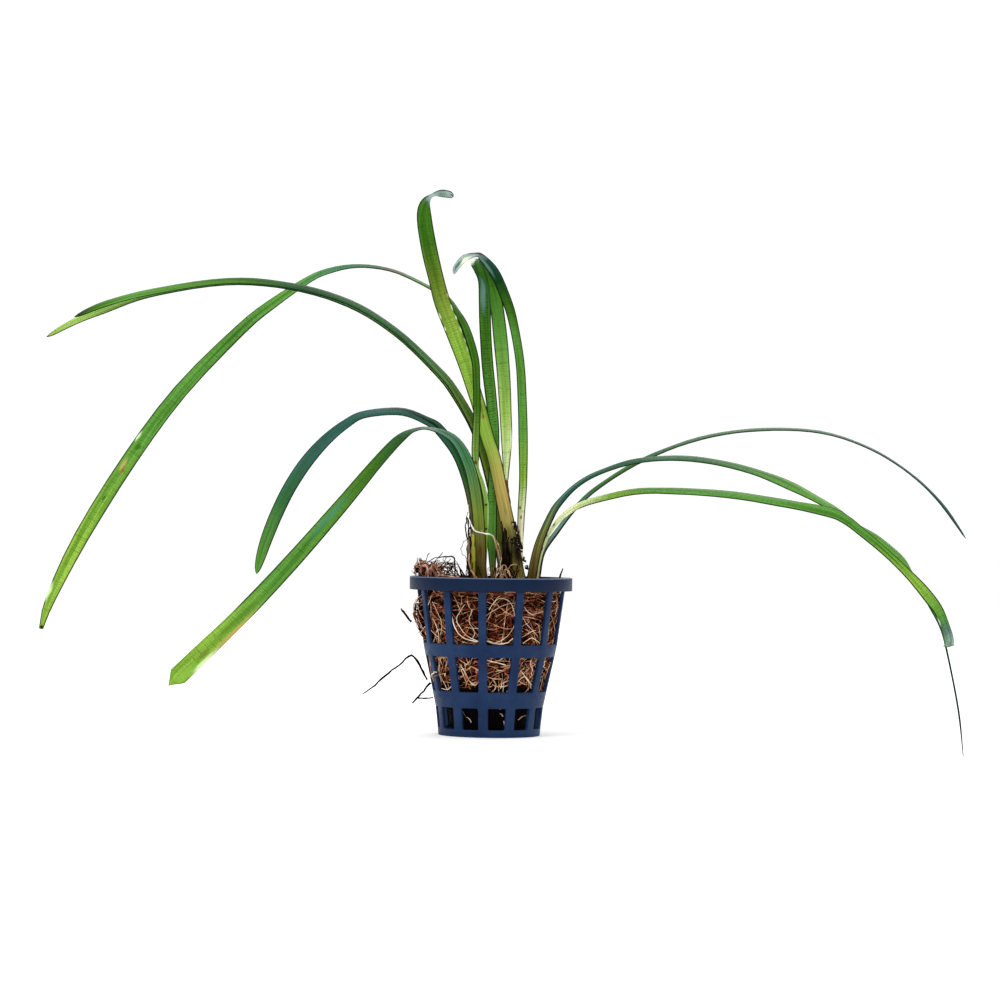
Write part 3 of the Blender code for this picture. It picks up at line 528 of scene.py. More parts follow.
def strap_pattern_group():
    """Margins, midrib, veins and cross walls of a strap leaf.

    Across runs from 0 to 1 over the blade, and Along is millimetres from its foot. Both margins
    begin at Margin Start out from the middle, as a share of half the blade.
    """
    number = "NodeSocketFloat"
    inputs = [
        ("Across", number, 0.5), ("Along", number, 0.0), ("Wall Spacing", number, 3.0), ("Seed", number, 0.0),
        ("Margin Start", number, 0.86),
    ]
    labels = ("Margin", "Inner Line", "Midrib", "Veins", "Walls", "Fine Walls", "Bands", "Height")
    group, given, result = new_group("strap pattern", inputs, [(label, number) for label in labels])
    across = given["Across"]
    along = given["Along"]

    from_middle = maths(group, "ABSOLUTE", maths(group, "MULTIPLY_ADD", across, 2.0, -1.0))
    past_start = maths(group, "SUBTRACT", from_middle, given["Margin Start"])
    group.links.new(between(group, past_start, -0.06, 0.07), result["Margin"])
    rise = between(group, from_middle, 0.50, 0.68)
    fall = between(group, from_middle, 0.70, 0.84, 1.0, 0.0)
    group.links.new(times(group, rise, fall), result["Inner Line"])
    midrib = between(group, from_middle, 0.03, 0.2, 1.0, 0.0)
    group.links.new(midrib, result["Midrib"])
    veins = between(group, maths(group, "SINE", times(group, across, 44.0)), 0.2, 1.0)
    group.links.new(veins, result["Veins"])

    def field(sideways, lengthways, detail):
        """Soft noise over the blade, between 0 and 1."""
        place = put(group, "ShaderNodeCombineXYZ", {
            "X": times(group, across, sideways),
            "Y": times(group, along, lengthways),
            "Z": given["Seed"],
        }).outputs[0]
        return noise_over(group, place, 1.0, detail)

    wander = field(1.5, 0.3, 1.0)
    breaks = field(3.0, 0.9, 1.0)

    def lines(spacing, sway, half_line, least):
        """Lines across the blade this far apart, each of its own strength."""
        counted = maths(group, "DIVIDE", maths(group, "MULTIPLY_ADD", wander, sway, along), spacing)
        line = between(group, maths(group, "PINGPONG", counted, 0.5), half_line * 0.3, half_line, 1.0, 0.0)
        which = maths(group, "ADD", maths(group, "ROUND", counted), given["Seed"])
        strength = put(group, "ShaderNodeTexWhiteNoise", {"W": which}, noise_dimensions="1D").outputs["Value"]
        strength = maths(group, "MULTIPLY_ADD", strength, 1.0 - least, least)
        strength = times(group, strength, between(group, breaks, 0.3, 0.55))
        return times(group, line, strength)

    walls = lines(given["Wall Spacing"], 2.4, 0.09, 0.1)
    fine_walls = lines(0.85, 1.6, 0.26, 0.6)
    group.links.new(walls, result["Walls"])
    group.links.new(fine_walls, result["Fine Walls"])
    group.links.new(field(3.6, 0.03, 2.0), result["Bands"])

    relief = maths(group, "MULTIPLY_ADD", veins, 0.3, times(group, midrib, -0.8))
    group.links.new(maths(group, "MULTIPLY_ADD", walls, -0.6, relief), result["Height"])
    return group


def blotch_group():
    """A soft-edged mark round one place on a strap leaf.

    Across and Half Width are shares of the blade, and Along and Half Length are millimetres.
    """
    number = "NodeSocketFloat"
    inputs = [
        ("Across", number, 0.5), ("Along", number, 0.0), ("Mark Across", number, 0.5),
        ("Mark Along", number, 0.0), ("Half Length", number, 2.0), ("Half Width", number, 0.3),
    ]
    group, given, result = new_group("leaf mark", inputs, [("Mark", number)])

    def off_middle(way, half):
        """How far from the mark's middle, as a share of half its size."""
        distance = maths(group, "SUBTRACT", given[way], given["Mark " + way])
        return maths(group, "DIVIDE", distance, given[half])

    sockets = {"X": off_middle("Across", "Half Width"), "Y": off_middle("Along", "Half Length"), "Z": 0.0}
    place = put(group, "ShaderNodeCombineXYZ", sockets).outputs[0]
    rough = noise_over(group, place, 1.7, 3.0)
    reach = length_of(group, place)
    edge = maths(group, "MULTIPLY_ADD", rough, 1.0, reach)
    group.links.new(between(group, edge, 0.85, 1.55, 1.0, 0.0), result["Mark"])
    return group


STRAP_PATTERN = strap_pattern_group()
LEAF_MARK = blotch_group()

# Painted shade: the near-black line laid along the edges of the blades.
EDGE_SHADE_TONE = tone("0c160e")
MARGIN_DULLNESS = 0.4
LEAF_SHINE = 0.08
PLASTIC_SHINE = 0.08
FIBRE_SHINE = 0.03
CORE_SHINE = 0.05
DIRT_SHINE = 0.12

# Display colours that the leaves share
NEAR_BLACK = "0a0e0a"
DARK_BROWN = "2a1c10"
BROWN = "5c4420"
RUST = "a06828"
STRAW = "c0b068"
OLIVE_BROWN = "6c6430"
DEEP_GREEN = "14481c"
PINE_GREEN = "2c6030"
MOSS_GREEN = "447a1c"
GRASS_GREEN = "64a044"
OLIVE_GREEN = "7c9438"
SPRING_GREEN = "94bc4c"
PALE_GREEN = "b0d074"
GREEN_WHITE = "dce8c8"
TEAL = "24564c"
SEA_GREEN = "509068"
SLATE_GREEN = "648a80"
SILVER = "b0c4cc"
OFF_WHITE = "f0f2ee"


def leaf_material(name, length, stops, walls=(3.0, 0.7), fine=(0.5, 1.0), midrib=0.3, see_through=0.4,
                  gloss=0.34, marks=(), margin=0.92, seed=0.0, smooth_foot=0.0, faint_foot=-1.0,
                  pale_end=2.0):
    """A leaf's finish.

    stops are places along the leaf, from 0 to 1, and display colours. Each mark is its place along
    the leaf and across the blade, from 0 to 1, its half length in millimetres, its half width as a
    share of the blade, and its colour. walls is how far apart the cross walls are and how dark, and
    fine is how dark the thin ones are and where they fade. Below smooth_foot the walls hardly show,
    and below faint_foot and past pale_end the dark margin, painted shade along the edges, fades.
    """
    material, tree = new_material(name)
    own_map = put(tree, "ShaderNodeUVMap", uv_map="strap").outputs["UV"]
    split = put(tree, "ShaderNodeSeparateXYZ", {"Vector": own_map})
    across = split.outputs["X"]
    reach = split.outputs["Y"]
    along = times(tree, reach, length)
    margins = put(tree, "ShaderNodeSeparateXYZ", {
        "Vector": put(tree, "ShaderNodeUVMap", uv_map="margins").outputs["UV"],
    })
    lines = put(tree, "ShaderNodeGroup", {
        "Across": across, "Along": along, "Wall Spacing": walls[0], "Seed": seed,
        "Margin Start": margins.outputs["X"],
    }, node_tree=STRAP_PATTERN).outputs

    colour = ramp(tree, reach, stops)
    darker = tint(tree, 1.0, colour, (0.62, 0.72, 0.45), "MULTIPLY")
    lighter = tint(tree, 1.0, colour, (1.38, 1.22, 1.3), "MULTIPLY")
    wall_tone = tint(tree, 1.0, colour, (0.25, 0.42, 0.15), "MULTIPLY")
    colour = tint(tree, between(tree, lines["Bands"], 0.32, 0.64), darker, lighter)
    colour = tint(tree, times(tree, lines["Veins"], 0.3), colour, darker)
    line_share = between(tree, reach, smooth_foot - 0.05, smooth_foot + 0.05, 0.15, 1.0)
    fine_share = between(tree, reach, fine[1] - 0.05, fine[1] + 0.02, fine[0], fine[0] * 0.3)
    fine_share = times(tree, fine_share, line_share)
    colour = tint(tree, times(tree, lines["Fine Walls"], fine_share), colour, wall_tone)
    wall_share = times(tree, line_share, walls[1])
    colour = tint(tree, times(tree, lines["Walls"], wall_share), colour, wall_tone)
    colour = tint(tree, times(tree, lines["Midrib"], midrib), colour, wall_tone)
    colour = tint(tree, times(tree, lines["Inner Line"], 0.3), colour, lighter)
    edge_shade_share = between(tree, reach, pale_end - 0.04, pale_end, margin, 0.25 * margin)
    foot_share = between(tree, reach, faint_foot - 0.02, faint_foot + 0.02, 0.15, 1.0)
    edge_shade_share = times(tree, edge_shade_share, foot_share)
    # Painted shade along both edges of the blade.
    colour = tint(tree, times(tree, lines["Margin"], edge_shade_share), colour, EDGE_SHADE_TONE)
    for place, side, half_length, half_width, code in marks:
        mark = put(tree, "ShaderNodeGroup", {
            "Across": across, "Along": along, "Mark Across": side, "Mark Along": place * length,
            "Half Length": half_length, "Half Width": half_width,
        }, node_tree=LEAF_MARK).outputs["Mark"]
        colour = tint(tree, mark, colour, tone(code))

    relief = bumpy(tree, lines["Height"], 0.25, 0.2)
    roughness = between(tree, lines["Bands"], 0.2, 0.8, gloss - 0.06, gloss + 0.1)
    roughness = maths(tree, "MULTIPLY_ADD", lines["Margin"], MARGIN_DULLNESS, roughness)
    surface = skin(tree, colour, roughness, LEAF_SHINE, relief)
    lit_through = tint(tree, 1.0, colour, (1.15, 1.2, 0.7), "MULTIPLY")
    glow = put(tree, "ShaderNodeBsdfTranslucent", {"Color": lit_through, "Normal": relief}).outputs[0]
    end_tree(tree, put(tree, "ShaderNodeMixShader", {"Fac": see_through, 1: surface, 2: glow}).outputs[0])
    return material


def plastic_material():
    """Navy moulded plastic: a darker rim, a painted highlight along the top edge, faint flow marks, scratches
    and a scuff.
    """
    material, tree = new_material("navy moulded plastic")
    place = put(tree, "ShaderNodeTexCoord").outputs["Object"]
    split = put(tree, "ShaderNodeSeparateXYZ", {"Vector": place}).outputs
    broad = noise_over(tree, place, 90.0, 3.0)
    fine = noise_over(tree, place, 900.0, 4.0)
    colour = tint(tree, between(tree, broad, 0.3, 0.7), tone("142648"), tone("1e3456"))
    colour = tint(tree, between(tree, fine, 0.62, 0.78, 0.0, 0.25), colour, tone("3c5780"))
    rim = between(tree, split["Z"], *RIM_DARKENS)
    colour = tint(tree, times(tree, rim, 0.8), colour, tone("07172f"))
    level = put(tree, "ShaderNodeVectorMath", {0: place, 1: (1.0, 1.0, 0.0)}, operation="MULTIPLY")
    outward = length_of(tree, level.outputs["Vector"])
    # Painted highlight: a pale line round the rim's top edge.
    top_edge_highlight = times(tree, between(tree, outward, *TOP_HIGHLIGHT_OUT), between(tree, split["Z"], *TOP_HIGHLIGHT_UP))
    colour = tint(tree, times(tree, top_edge_highlight, 0.7), colour, tone("6c7c9c"))
    scuff_place = put(tree, "ShaderNodeMapping", {
        "Vector": place, "Scale": SCUFF_SCALE,
        "Location": [-middle * scale * MM for middle, scale in zip(SCUFF_MIDDLE, SCUFF_SCALE)],
    }).outputs[0]
    scuff_reach = maths(tree, "MULTIPLY_ADD", broad, 1.2, length_of(tree, scuff_place))
    front = between(tree, split["Y"], *SCUFF_FRONT, 1.0, 0.0)
    scuff = times(tree, between(tree, scuff_reach, 1.2, 1.8, 1.0, 0.0), front)
    colour = tint(tree, times(tree, scuff, 0.8), colour, tone("111a33"))
    scratch_place = put(tree, "ShaderNodeMapping", {"Vector": place, "Scale": SCRATCH_SCALE}).outputs[0]
    scratches = noise_over(tree, scratch_place, 1.0, 2.0)
    roughness = between(tree, scratches, 0.35, 0.7, 0.38, 0.55)
    end_tree(tree, skin(tree, colour, roughness, PLASTIC_SHINE, bumpy(tree, fine, 0.12, 0.1)))
    return material


def fibre_material(name, dark, middle, light, scale=420.0, roughness=0.75):
    """Plant fibre whose colour drifts from strand to strand."""
    material, tree = new_material(name)
    drift = noise_over(tree, put(tree, "ShaderNodeTexCoord").outputs["Object"], scale, 3.0, 0.7)
    colour = ramp(tree, drift, [(0.3, dark), (0.5, middle), (0.7, light)])
    end_tree(tree, skin(tree, colour, roughness, FIBRE_SHINE, bumpy(tree, drift, 0.3, 0.2)))
    return material


def coir_core_material():
    """The dark inside of the plug, its darkest tones partly painted shade between the fibres, and painted
    shade making it nearly black at its foot.
    """
    material, tree = new_material("coir core")
    place = put(tree, "ShaderNodeTexCoord").outputs["Object"]
    height = put(tree, "ShaderNodeSeparateXYZ", {"Vector": place}).outputs["Z"]
    lumps = noise_over(tree, place, 500.0, 5.0, 0.65)
    colour = ramp(tree, lumps, [(0.35, "0a0403"), (0.55, "2a120a"), (0.75, "56291a")])
    # Painted shade: nearly black towards the foot, where no light gets in.
    colour = tint(tree, between(tree, height, *CORE_PAINTED_SHADE, 1.0, 0.0), colour, tone("07060a"))
    end_tree(tree, skin(tree, colour, 0.9, CORE_SHINE, bumpy(tree, lumps, 0.8, 0.6)))
    return material


def dirt_material():
    """Wet dirt, nearly black, with a few painted glints: near-white specks standing in for highlights."""
    material, tree = new_material("wet dirt")
    grain_and_glints = noise_over(tree, put(tree, "ShaderNodeTexCoord").outputs["Object"], 1100.0, 3.0)
    # Painted glints: the near-white top of the ramp stands in for highlights on the wet dirt.
    colour = ramp(tree, grain_and_glints, [(0.0, "050302"), (0.55, "150b07"), (0.63, "4a2e1c"), (0.7, "f0e8e0")])
    end_tree(tree, skin(tree, colour, between(tree, grain_and_glints, 0.3, 0.7, 0.35, 0.8), DIRT_SHINE))
    return material


# Pot

def build_pot():
    """A skin drawn up ring by ring, windows cut out, given its wall, and softened."""
    select_nothing()
    first_radius = POT_ROWS[0][0]
    bpy.ops.mesh.primitive_circle_add(
        vertices=COLUMNS, radius=first_radius * MM, fill_type="TRIFAN",
        location=(0.0, 0.0, 0.0), rotation=(0.0, 0.0, math.radians(RIB_PHASE)),
    )
    pot = bpy.context.object
    bpy.ops.object.transform_apply(location=True, rotation=True, scale=True)
    begin_edit(pot, "EDGE")
    pick(pot, "edges", lambda edge: all(vert.co.length > 0.9 * first_radius * MM for vert in edge.verts))
    radius, height, _ = POT_ROWS[0]
    for next_radius, next_height, _ in POT_ROWS[1:]:
        rise = (0.0, 0.0, (next_height - height) * MM)
        bpy.ops.mesh.extrude_edges_move(TRANSFORM_OT_translate={"value": rise})
        widen(next_radius / radius, next_radius / radius)
        radius, height = next_radius, next_height

    def from_rib(place):
        """Degrees from the nearest rib's middle."""
        azimuth = math.degrees(math.atan2(place.x, -place.y))
        step = 360.0 / RIB_COUNT
        return (azimuth - RIB_PHASE + step / 2.0) % step - step / 2.0

    bpy.ops.mesh.select_mode(type="VERT")
    for row_radius, row_height, rib_width in [row for row in POT_ROWS if row[2]]:
        wanted_angle = math.degrees(math.asin(rib_width / 2.0 / row_radius))
        for side in (-1.0, 1.0):
            def on_rib_edge(vert):
                place = vert.co / MM
                level = abs(place.z - row_height) < 0.01 and abs(place.xy.length - row_radius) < 0.05
                return level and abs(from_rib(place) - side * COLUMN_ANGLE) < 0.2

            if pick(pot, "verts", on_rib_edge):
                turn_about("Z", math.radians(side * (wanted_angle - COLUMN_ANGLE)))

    bpy.ops.mesh.select_mode(type="FACE")

    def in_window(face):
        place = face.calc_center_median() / MM
        columns_off = abs(from_rib(place)) / COLUMN_ANGLE
        outward = place.xy.length
        in_wall = any(low < place.z < high for low, high in WINDOW_HEIGHTS) and outward < WALL_LIMIT
        in_floor = place.z < 0.01 and SLOT_RADII[0] < outward < SLOT_RADII[1]
        return (in_wall and columns_off > 0.8) or (in_floor and columns_off > SPOKE_COLUMNS)

    pick(pot, "faces", in_window)
    bpy.ops.mesh.delete(type="FACE")
    bpy.ops.mesh.select_all(action="SELECT")
    bpy.ops.mesh.normals_make_consistent(inside=False)
    shape = bmesh.from_edit_mesh(pot.data)
    wall_face = next(face for face in shape.faces if face.calc_center_median().z > WALL_MIDDLE * MM)
    if wall_face.normal.dot(wall_face.calc_center_median()) < 0.0:
        bpy.ops.mesh.flip_normals()
    end_edit()
    apply_modifier(pot, "SOLIDIFY", thickness=WALL * MM, offset=-1.0, use_even_offset=True)

    begin_edit(pot, "EDGE")

    def through_wall_corner(edge):
        if len(edge.link_faces) != 2:
            return False
        angle = abs(math.degrees(edge.calc_face_angle_signed(0.0)))
        length = edge.calc_length() / MM
        ends_meet = all(len(vert.link_edges) == 5 for vert in edge.verts)
        return 60.0 < angle < 120.0 and 0.8 * WALL < length < 1.7 * WALL and ends_meet

    pick(pot, "edges", through_wall_corner)
    bpy.ops.mesh.bevel(offset=WINDOW_CORNER * MM, segments=3, affect="EDGES", clamp_overlap=True)
    end_edit()
    apply_modifier(
        pot, "BEVEL", width=SOFT_EDGE * MM, segments=2, limit_method="ANGLE", angle_limit=math.radians(40.0)
    )
    finish_piece(pot, "net_pot_shell", plastic_material(), 35.0, ["net_pot"])


# Leaves

def blend(before, start, end, after, part):
    """Catmull-Rom value between start and end."""
    return 0.5 * (
        2.0 * start
        + (end - before) * part
        + (2.0 * before - 5.0 * start + 4.0 * end - after) * part ** 2
        + (3.0 * start - before - 3.0 * end + after) * part ** 3
    )


def smooth_stations(stations, parts):
    """Fill in stations between the given ones along a smooth curve."""
    filled = []
    last = len(stations) - 1
    for span in range(last):
        before = stations[max(span - 1, 0)]
        after = stations[min(span + 2, last)]
        neighbours = [before, stations[span], stations[span + 1], after]
        for step in range(parts):
            filled.append([blend(*values, step / parts) for values in zip(*neighbours)])
    filled.append(list(stations[-1]))
    return filled


def smooth_step(value):
    value = min(max(value, 0.0), 1.0)
    return value * value * (3.0 - 2.0 * value)


def rod_of_rings(count):
    """A rod cut into rings, in edit mode, with each ring's vertices and how far each lies to the side."""
    rod = cut_drum(CORNERS, count, "NGON")
    shape = bmesh.from_edit_mesh(rod.data)
    rings = [[] for _ in range(count)]
    sides = {}
    for vert in shape.verts:
        rings[round((vert.co.z + 0.5) * (count - 1))].append(vert.index)
        sides[vert.index] = vert.co.x
    return rod, rings, sides


def margin_start(half_width):
    """How far out from the middle a dark margin starts, as a share of half the blade."""
    return max(1.0 - MARGIN_WIDTH / half_width, LEAST_MARGIN_START)


def strap(name, stations, material, node, stalk=2.4, blade=0.6, stalk_length=45.0, across=None, parts=5,
          round_tip=0.0, pointed_tip=0.0, ragged_end=0.0, ragged=0.0, seed=1.0, ripple=1.0):
    """A leaf: a rod cut into rings, each flattened, turned and moved to its station.

    across is the fixed width direction of a leaf that folds over backwards. round_tip and
    pointed_tip are the length over which the end is rounded or cut to a point, ragged_end is how
    uneven a torn end is, and ragged how uneven the whole edge is.
    """
    parts = min(parts, MOST_RINGS // (len(stations) - 1))
    filled = smooth_stations(stations, parts)
    places = [Vector(station[:3]) for station in filled]
    steps = [0.0] + [(b - a).length for a, b in zip(places, places[1:])]
    total = sum(steps)
    rod, rings, sides = rod_of_rings(len(filled))
    blade_places = {}
    margin_places = {}
    travelled = 0.0
    for index, (place, station) in enumerate(zip(places, filled)):
        travelled += steps[index]
        ahead = places[min(index + 1, len(places) - 1)]
        behind = places[max(index - 1, 0)]
        along = (ahead - behind).normalized()
        if across is None:
            side = Vector((0.0, 1.0, 0.0)).cross(along).normalized()
            face = along.cross(side)
        else:
            side = (across - along * across.dot(along)).normalized()
            face = side.cross(along)
        wave = noise.noise(Vector((travelled * RIPPLE_PER_MM, seed, 0.0)))
        turn = math.radians(station[4] + ripple * RIPPLE_TURN * wave)
        width_way = side * math.cos(turn) + face * math.sin(turn)
        thick_way = along.cross(width_way)
        half_width = station[3] / 2.0 * (1.0 + RIPPLE_WIDTH * wave)
        half_thick = (stalk + (blade - stalk) * smooth_step(travelled / stalk_length)) / 2.0
        half_thick *= TIP_THINNESS + (1.0 - TIP_THINNESS) * smooth_step((total - travelled) / TIP_LENGTH)
        half_thick = min(half_thick, half_width)
        if round_tip and total - travelled < round_tip:
            into_tip = 1.0 - (total - travelled) / round_tip
            half_width *= max(math.sqrt(max(1.0 - into_tip ** 2, 0.0)), LEAST_ROUND_END)
        if pointed_tip:
            half_width *= max(min((total - travelled) / pointed_tip, 1.0), LEAST_POINTED_END)
        if ragged:
            half_width *= 1.0 + ragged * noise.noise(Vector((travelled * 0.7, seed, 5.0)))
        frame_turn = Matrix((width_way, thick_way, along)).transposed().to_euler("XYZ")
        pick_numbered(rod, rings[index])
        level = index / (len(filled) - 1) - 0.5
        raise_by(-level)
        widen(half_width * MM, half_thick * MM)
        turn_about("X", frame_turn.x)
        turn_about("Y", frame_turn.y)
        turn_about("Z", frame_turn.z)
        bpy.ops.transform.translate(value=place * MM)
        for number in rings[index]:
            blade_places[number] = (0.5 + 0.5 * sides[number], travelled / total)
            margin_places[number] = (margin_start(half_width), 0.0)
    if ragged or ragged_end:
        pick_numbered(rod, rings[-1])
        bpy.ops.transform.vertex_random(offset=max(ragged, ragged_end) * MM, uniform=0.0, seed=int(seed))
    if ragged:
        bpy.ops.mesh.select_all(action="SELECT")
        bpy.ops.transform.vertex_random(offset=0.3 * ragged * MM, uniform=0.0, seed=int(seed) + 1)
    bpy.ops.mesh.select_all(action="SELECT")
    bpy.ops.mesh.normals_make_consistent(inside=False)
    end_edit()

    for layer in list(rod.data.uv_layers):
        rod.data.uv_layers.remove(layer)
    for map_name, places_of in (("strap", blade_places), ("margins", margin_places)):
        own_map = rod.data.uv_layers.new(name=map_name)
        for loop in rod.data.loops:
            own_map.data[loop.index].uv = places_of[loop.vertex_index]
    finish_piece(rod, name, material, 75.0, [node])


# Strands

def strands(name, lines, material, nodes=(), round_steps=0):
    """Draw thin lines, thicken them, and turn them into one mesh.

    A line is points, each with a thickness, all in millimetres.
    """
    select_nothing()
    curve = bpy.data.curves.new(name, "CURVE")
    curve.dimensions = "3D"
    curve.bevel_depth = MM / 2.0
    curve.bevel_resolution = round_steps
    curve.use_fill_caps = True
    for line in lines:
        spline = curve.splines.new("POLY")
        spline.points.add(len(line) - 1)
        for point, (place, thickness) in zip(spline.points, line):
            point.co = (place[0] * MM, place[1] * MM, place[2] * MM, 1.0)
            point.radius = thickness
    drawn = bpy.data.objects.new(name, curve)
    bpy.context.scene.collection.objects.link(drawn)
    bpy.context.view_layer.objects.active = drawn
    drawn.select_set(True)
    bpy.ops.object.convert(target="MESH")
    finish_piece(bpy.context.object, name, material, 60.0, nodes)


def kinked(points, parts=4, wobble=0.25, seed=0.0):
    """A line through points with x, y, z and thickness, smoothed and slightly kinked."""
    line = []
    for x, y, z, thickness in smooth_stations(points, parts):
        place = Vector((x, y, z))
        shake = noise.noise_vector(place * 0.9 + Vector((seed, 0.0, 0.0))) * wobble
        swell = 1.0 + 0.5 * noise.noise(place * 1.3 + Vector((0.0, seed, 0.0)))
        line.append((place + shake, thickness * swell))
    return line


class Ground:
    """The coir solid's surface, to lay fibres on. Everything is in millimetres."""

    def __init__(self, node):
        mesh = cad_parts[node].data
        corners = [vert.co / MM for vert in mesh.vertices]
        faces = [tuple(face.vertices) for face in mesh.polygons]
        self.tree = BVHTree.FromPolygons(corners, faces)
        self.faces = [[corners[number] for number in face] for face in faces]
        self.areas = [face.area for face in mesh.polygons]

    def somewhere(self, allowed):
        """A random point on the surface that allowed accepts."""
        while True:
            a, b, c = random.choices(self.faces, self.areas)[0][:3]
            first, second = random.random(), random.random()
            if first + second > 1.0:
                first, second = 1.0 - first, 1.0 - second
            place = a + (b - a) * first + (c - a) * second
            if allowed(place):
                return place

    def crawl(self, start, length, thickness, curl, lift, end_lift=0.0, steps=7, heading=None):
        """A line that wanders over the surface from start."""
        heading = heading or Vector([random.uniform(-1.0, 1.0) for _ in range(3)])
        bend = random.gauss(0.0, curl)
        line = []
        place = start.copy()
        for step in range(steps + 1):
            near, normal, _, _ = self.tree.find_nearest(place)
            share = step / steps
            rise = lift + end_lift * share ** 3 + 0.15 * noise.noise(near * 0.8)
            line.append((near + normal * rise, thickness * (1.0 - 0.55 * abs(2.0 * share - 1.0) ** 3)))
            heading = (heading - normal * heading.dot(normal)).normalized()
            heading = Matrix.Rotation(bend + random.gauss(0.0, curl), 3, normal) @ heading
            place = near + heading * (length / steps)
        return line


def build_core():
    """The heart of the plug, dark partly with painted shade: a drum cut into rings, each drawn to its place,
    and roughened.
    """
    count = len(CORE_RINGS)
    core = cut_drum(CORE_CORNERS, count, "TRIFAN")
    levels = [index / (count - 1) - 0.5 for index in range(count)]
    for (radius, height), level in reversed(list(zip(CORE_RINGS, levels))):
        pick(core, "verts", lambda vert, level=level: abs(vert.co.z - level) < 0.01)
        widen(radius * MM, radius * MM)
        raise_by(height * MM - level + CLEAR_OF_DRUM)
    bpy.ops.mesh.select_all(action="SELECT")
    raise_by(-CLEAR_OF_DRUM)
    pick(core, "verts", lambda vert: vert.co.z > ROUGH_ABOVE * MM and vert.co.xy.length > ROUGH_BEYOND * MM)
    bpy.ops.transform.vertex_random(offset=0.5 * MM, uniform=0.3, normal=0.5, seed=3)
    end_edit()
    finish_piece(core, "coir_core", coir_core_material(), 60.0, ["coir"])


def build_coir():
    """The plug and the fibres packed round it, with painted shade in their darkest tones and painted glints
    among them.
    """
    build_core()
    ground = Ground("coir")

    rust = fibre_material("rust coir", "200a04", "6a2e1a", "b86c42")
    red = fibre_material("red coir", "30100a", "84402e", "cc9078")
    tan = fibre_material("tan coir", "7a4a2a", "c09068", "f4dcc0")
    umber = fibre_material("umber coir", "050203", "140907", "2e160c")
    cream = fibre_material("cream root", "a87c58", "e0c4a4", "fff2e4", 200.0, 0.5)
    faded = fibre_material("faded coir", "3a1c12", "8a5a4a", "d4ae98")

    def upper(place):
        return 19.0 < place.z < 49.0 and place.x > -21.5

    def anywhere(place):
        return 13.0 < place.z < 49.0 and place.x > -23.0

    def middle(place):
        return 17.5 < place.z < 27.0

    # The near-black umber strands are partly the coir's dark fibre, partly painted shade in the gaps between
    # fibres; the short pale glints are painted glints.
    layers = [
        ("coir_umber_and_shade", umber, 1700, 10.0, 0.36, 0.16, -0.2, 0.35, anywhere),
        ("coir_rust", rust, 900, 12.0, 0.26, 0.13, -0.1, 0.5, upper),
        ("coir_tan", tan, 420, 13.0, 0.19, 0.12, 0.1, 0.6, upper),
        ("coir_knots", red, 150, 5.0, 0.46, 0.3, 0.1, 0.6, middle),
        ("coir_painted_glints", tan, 150, 4.5, 0.3, 0.16, 0.4, 0.9, middle),
    ]
    for name, material, count, length, thickness, curl, low, high, allowed in layers:
        lines = []
        for _ in range(count):
            lines.append(ground.crawl(
                ground.somewhere(allowed), length * random.uniform(0.4, 1.3),
                thickness * random.uniform(0.55, 1.5), curl, random.uniform(low, high), 0.3 * random.random(),
            ))
        strands(name, lines, material, ["coir"])

    def under_rim(place):
        return 40.0 < place.z < 48.0

    level_lines = []
    for _ in range(120):
        start = ground.somewhere(under_rim)
        level = Vector((-start.y, start.x, random.uniform(-4.0, 4.0)))
        level_lines.append(ground.crawl(
            start, random.uniform(8.0, 18.0), random.uniform(0.18, 0.4), 0.05, random.uniform(0.2, 0.6),
            heading=level,
        ))
    strands("coir_red", level_lines, red, ["coir"])
    build_clump(ground, faded, umber, tan)
    build_pale_roots(ground, cream)
    return umber, tan


def build_clump(ground, faded, umber, tan):
    """Loose fibre standing over the rim, and a dark tuft out of the window below it."""

    def heap(place):
        return place.z > 50.0 and place.x < -17.5

    def sparse(place):
        return place.z > 51.0 and place.x < -12.0

    def spread(place):
        return place.z > 50.0

    def on_tuft(place):
        return place.x < -21.5 and 28.0 < place.z < 48.0

    def over_rim(line):
        """Whether a line hangs down over the outside of the rim."""
        return any(place.xy.length > RIM_OUTER_RADIUS - 1.0 and place.z < POT_HEIGHT for place, _ in line)

    loose = {"faded": [], "umber": [], "tan": []}
    for kind, count, allowed, length, least, drop in (
        ("faded", 130, heap, 7.0, 1.2, 5.0), ("umber", 70, heap, 7.0, 1.0, 5.0),
        ("tan", 34, heap, 6.0, 1.0, 5.0), ("umber", 12, sparse, 9.0, 0.0, 2.0),
        ("faded", 6, sparse, 7.0, 0.5, 3.0), ("umber", 30, spread, 9.0, 0.5, 2.0),
        ("faded", 20, spread, 8.0, 0.5, 3.0), ("umber", 320, on_tuft, 7.0, 1.2, 3.0),
        ("faded", 8, on_tuft, 5.0, 1.4, 2.4),
    ):
        for _ in range(count):
            depth = least + (drop - least) * random.random()
            line = ground.crawl(
                ground.somewhere(allowed), length * random.uniform(0.5, 1.3), random.uniform(0.16, 0.42),
                0.24, -depth, random.choice((0.0, 0.4, 1.2, 2.4)),
            )
            if allowed is on_tuft or not over_rim(line):
                loose[kind].append(line)
    for points in CLUMP_LOOPS:
        loose["faded"].append(kinked(points, 5, 0.4, points[0][0]))
    for points in CLUMP_ARCS:
        loose["umber"].append(kinked(points, 5, 0.4, points[0][0]))
    for kind, material in (("faded", faded), ("umber", umber), ("tan", tan)):
        strands("loose_coir_" + kind, loose[kind], material, ["coir"])


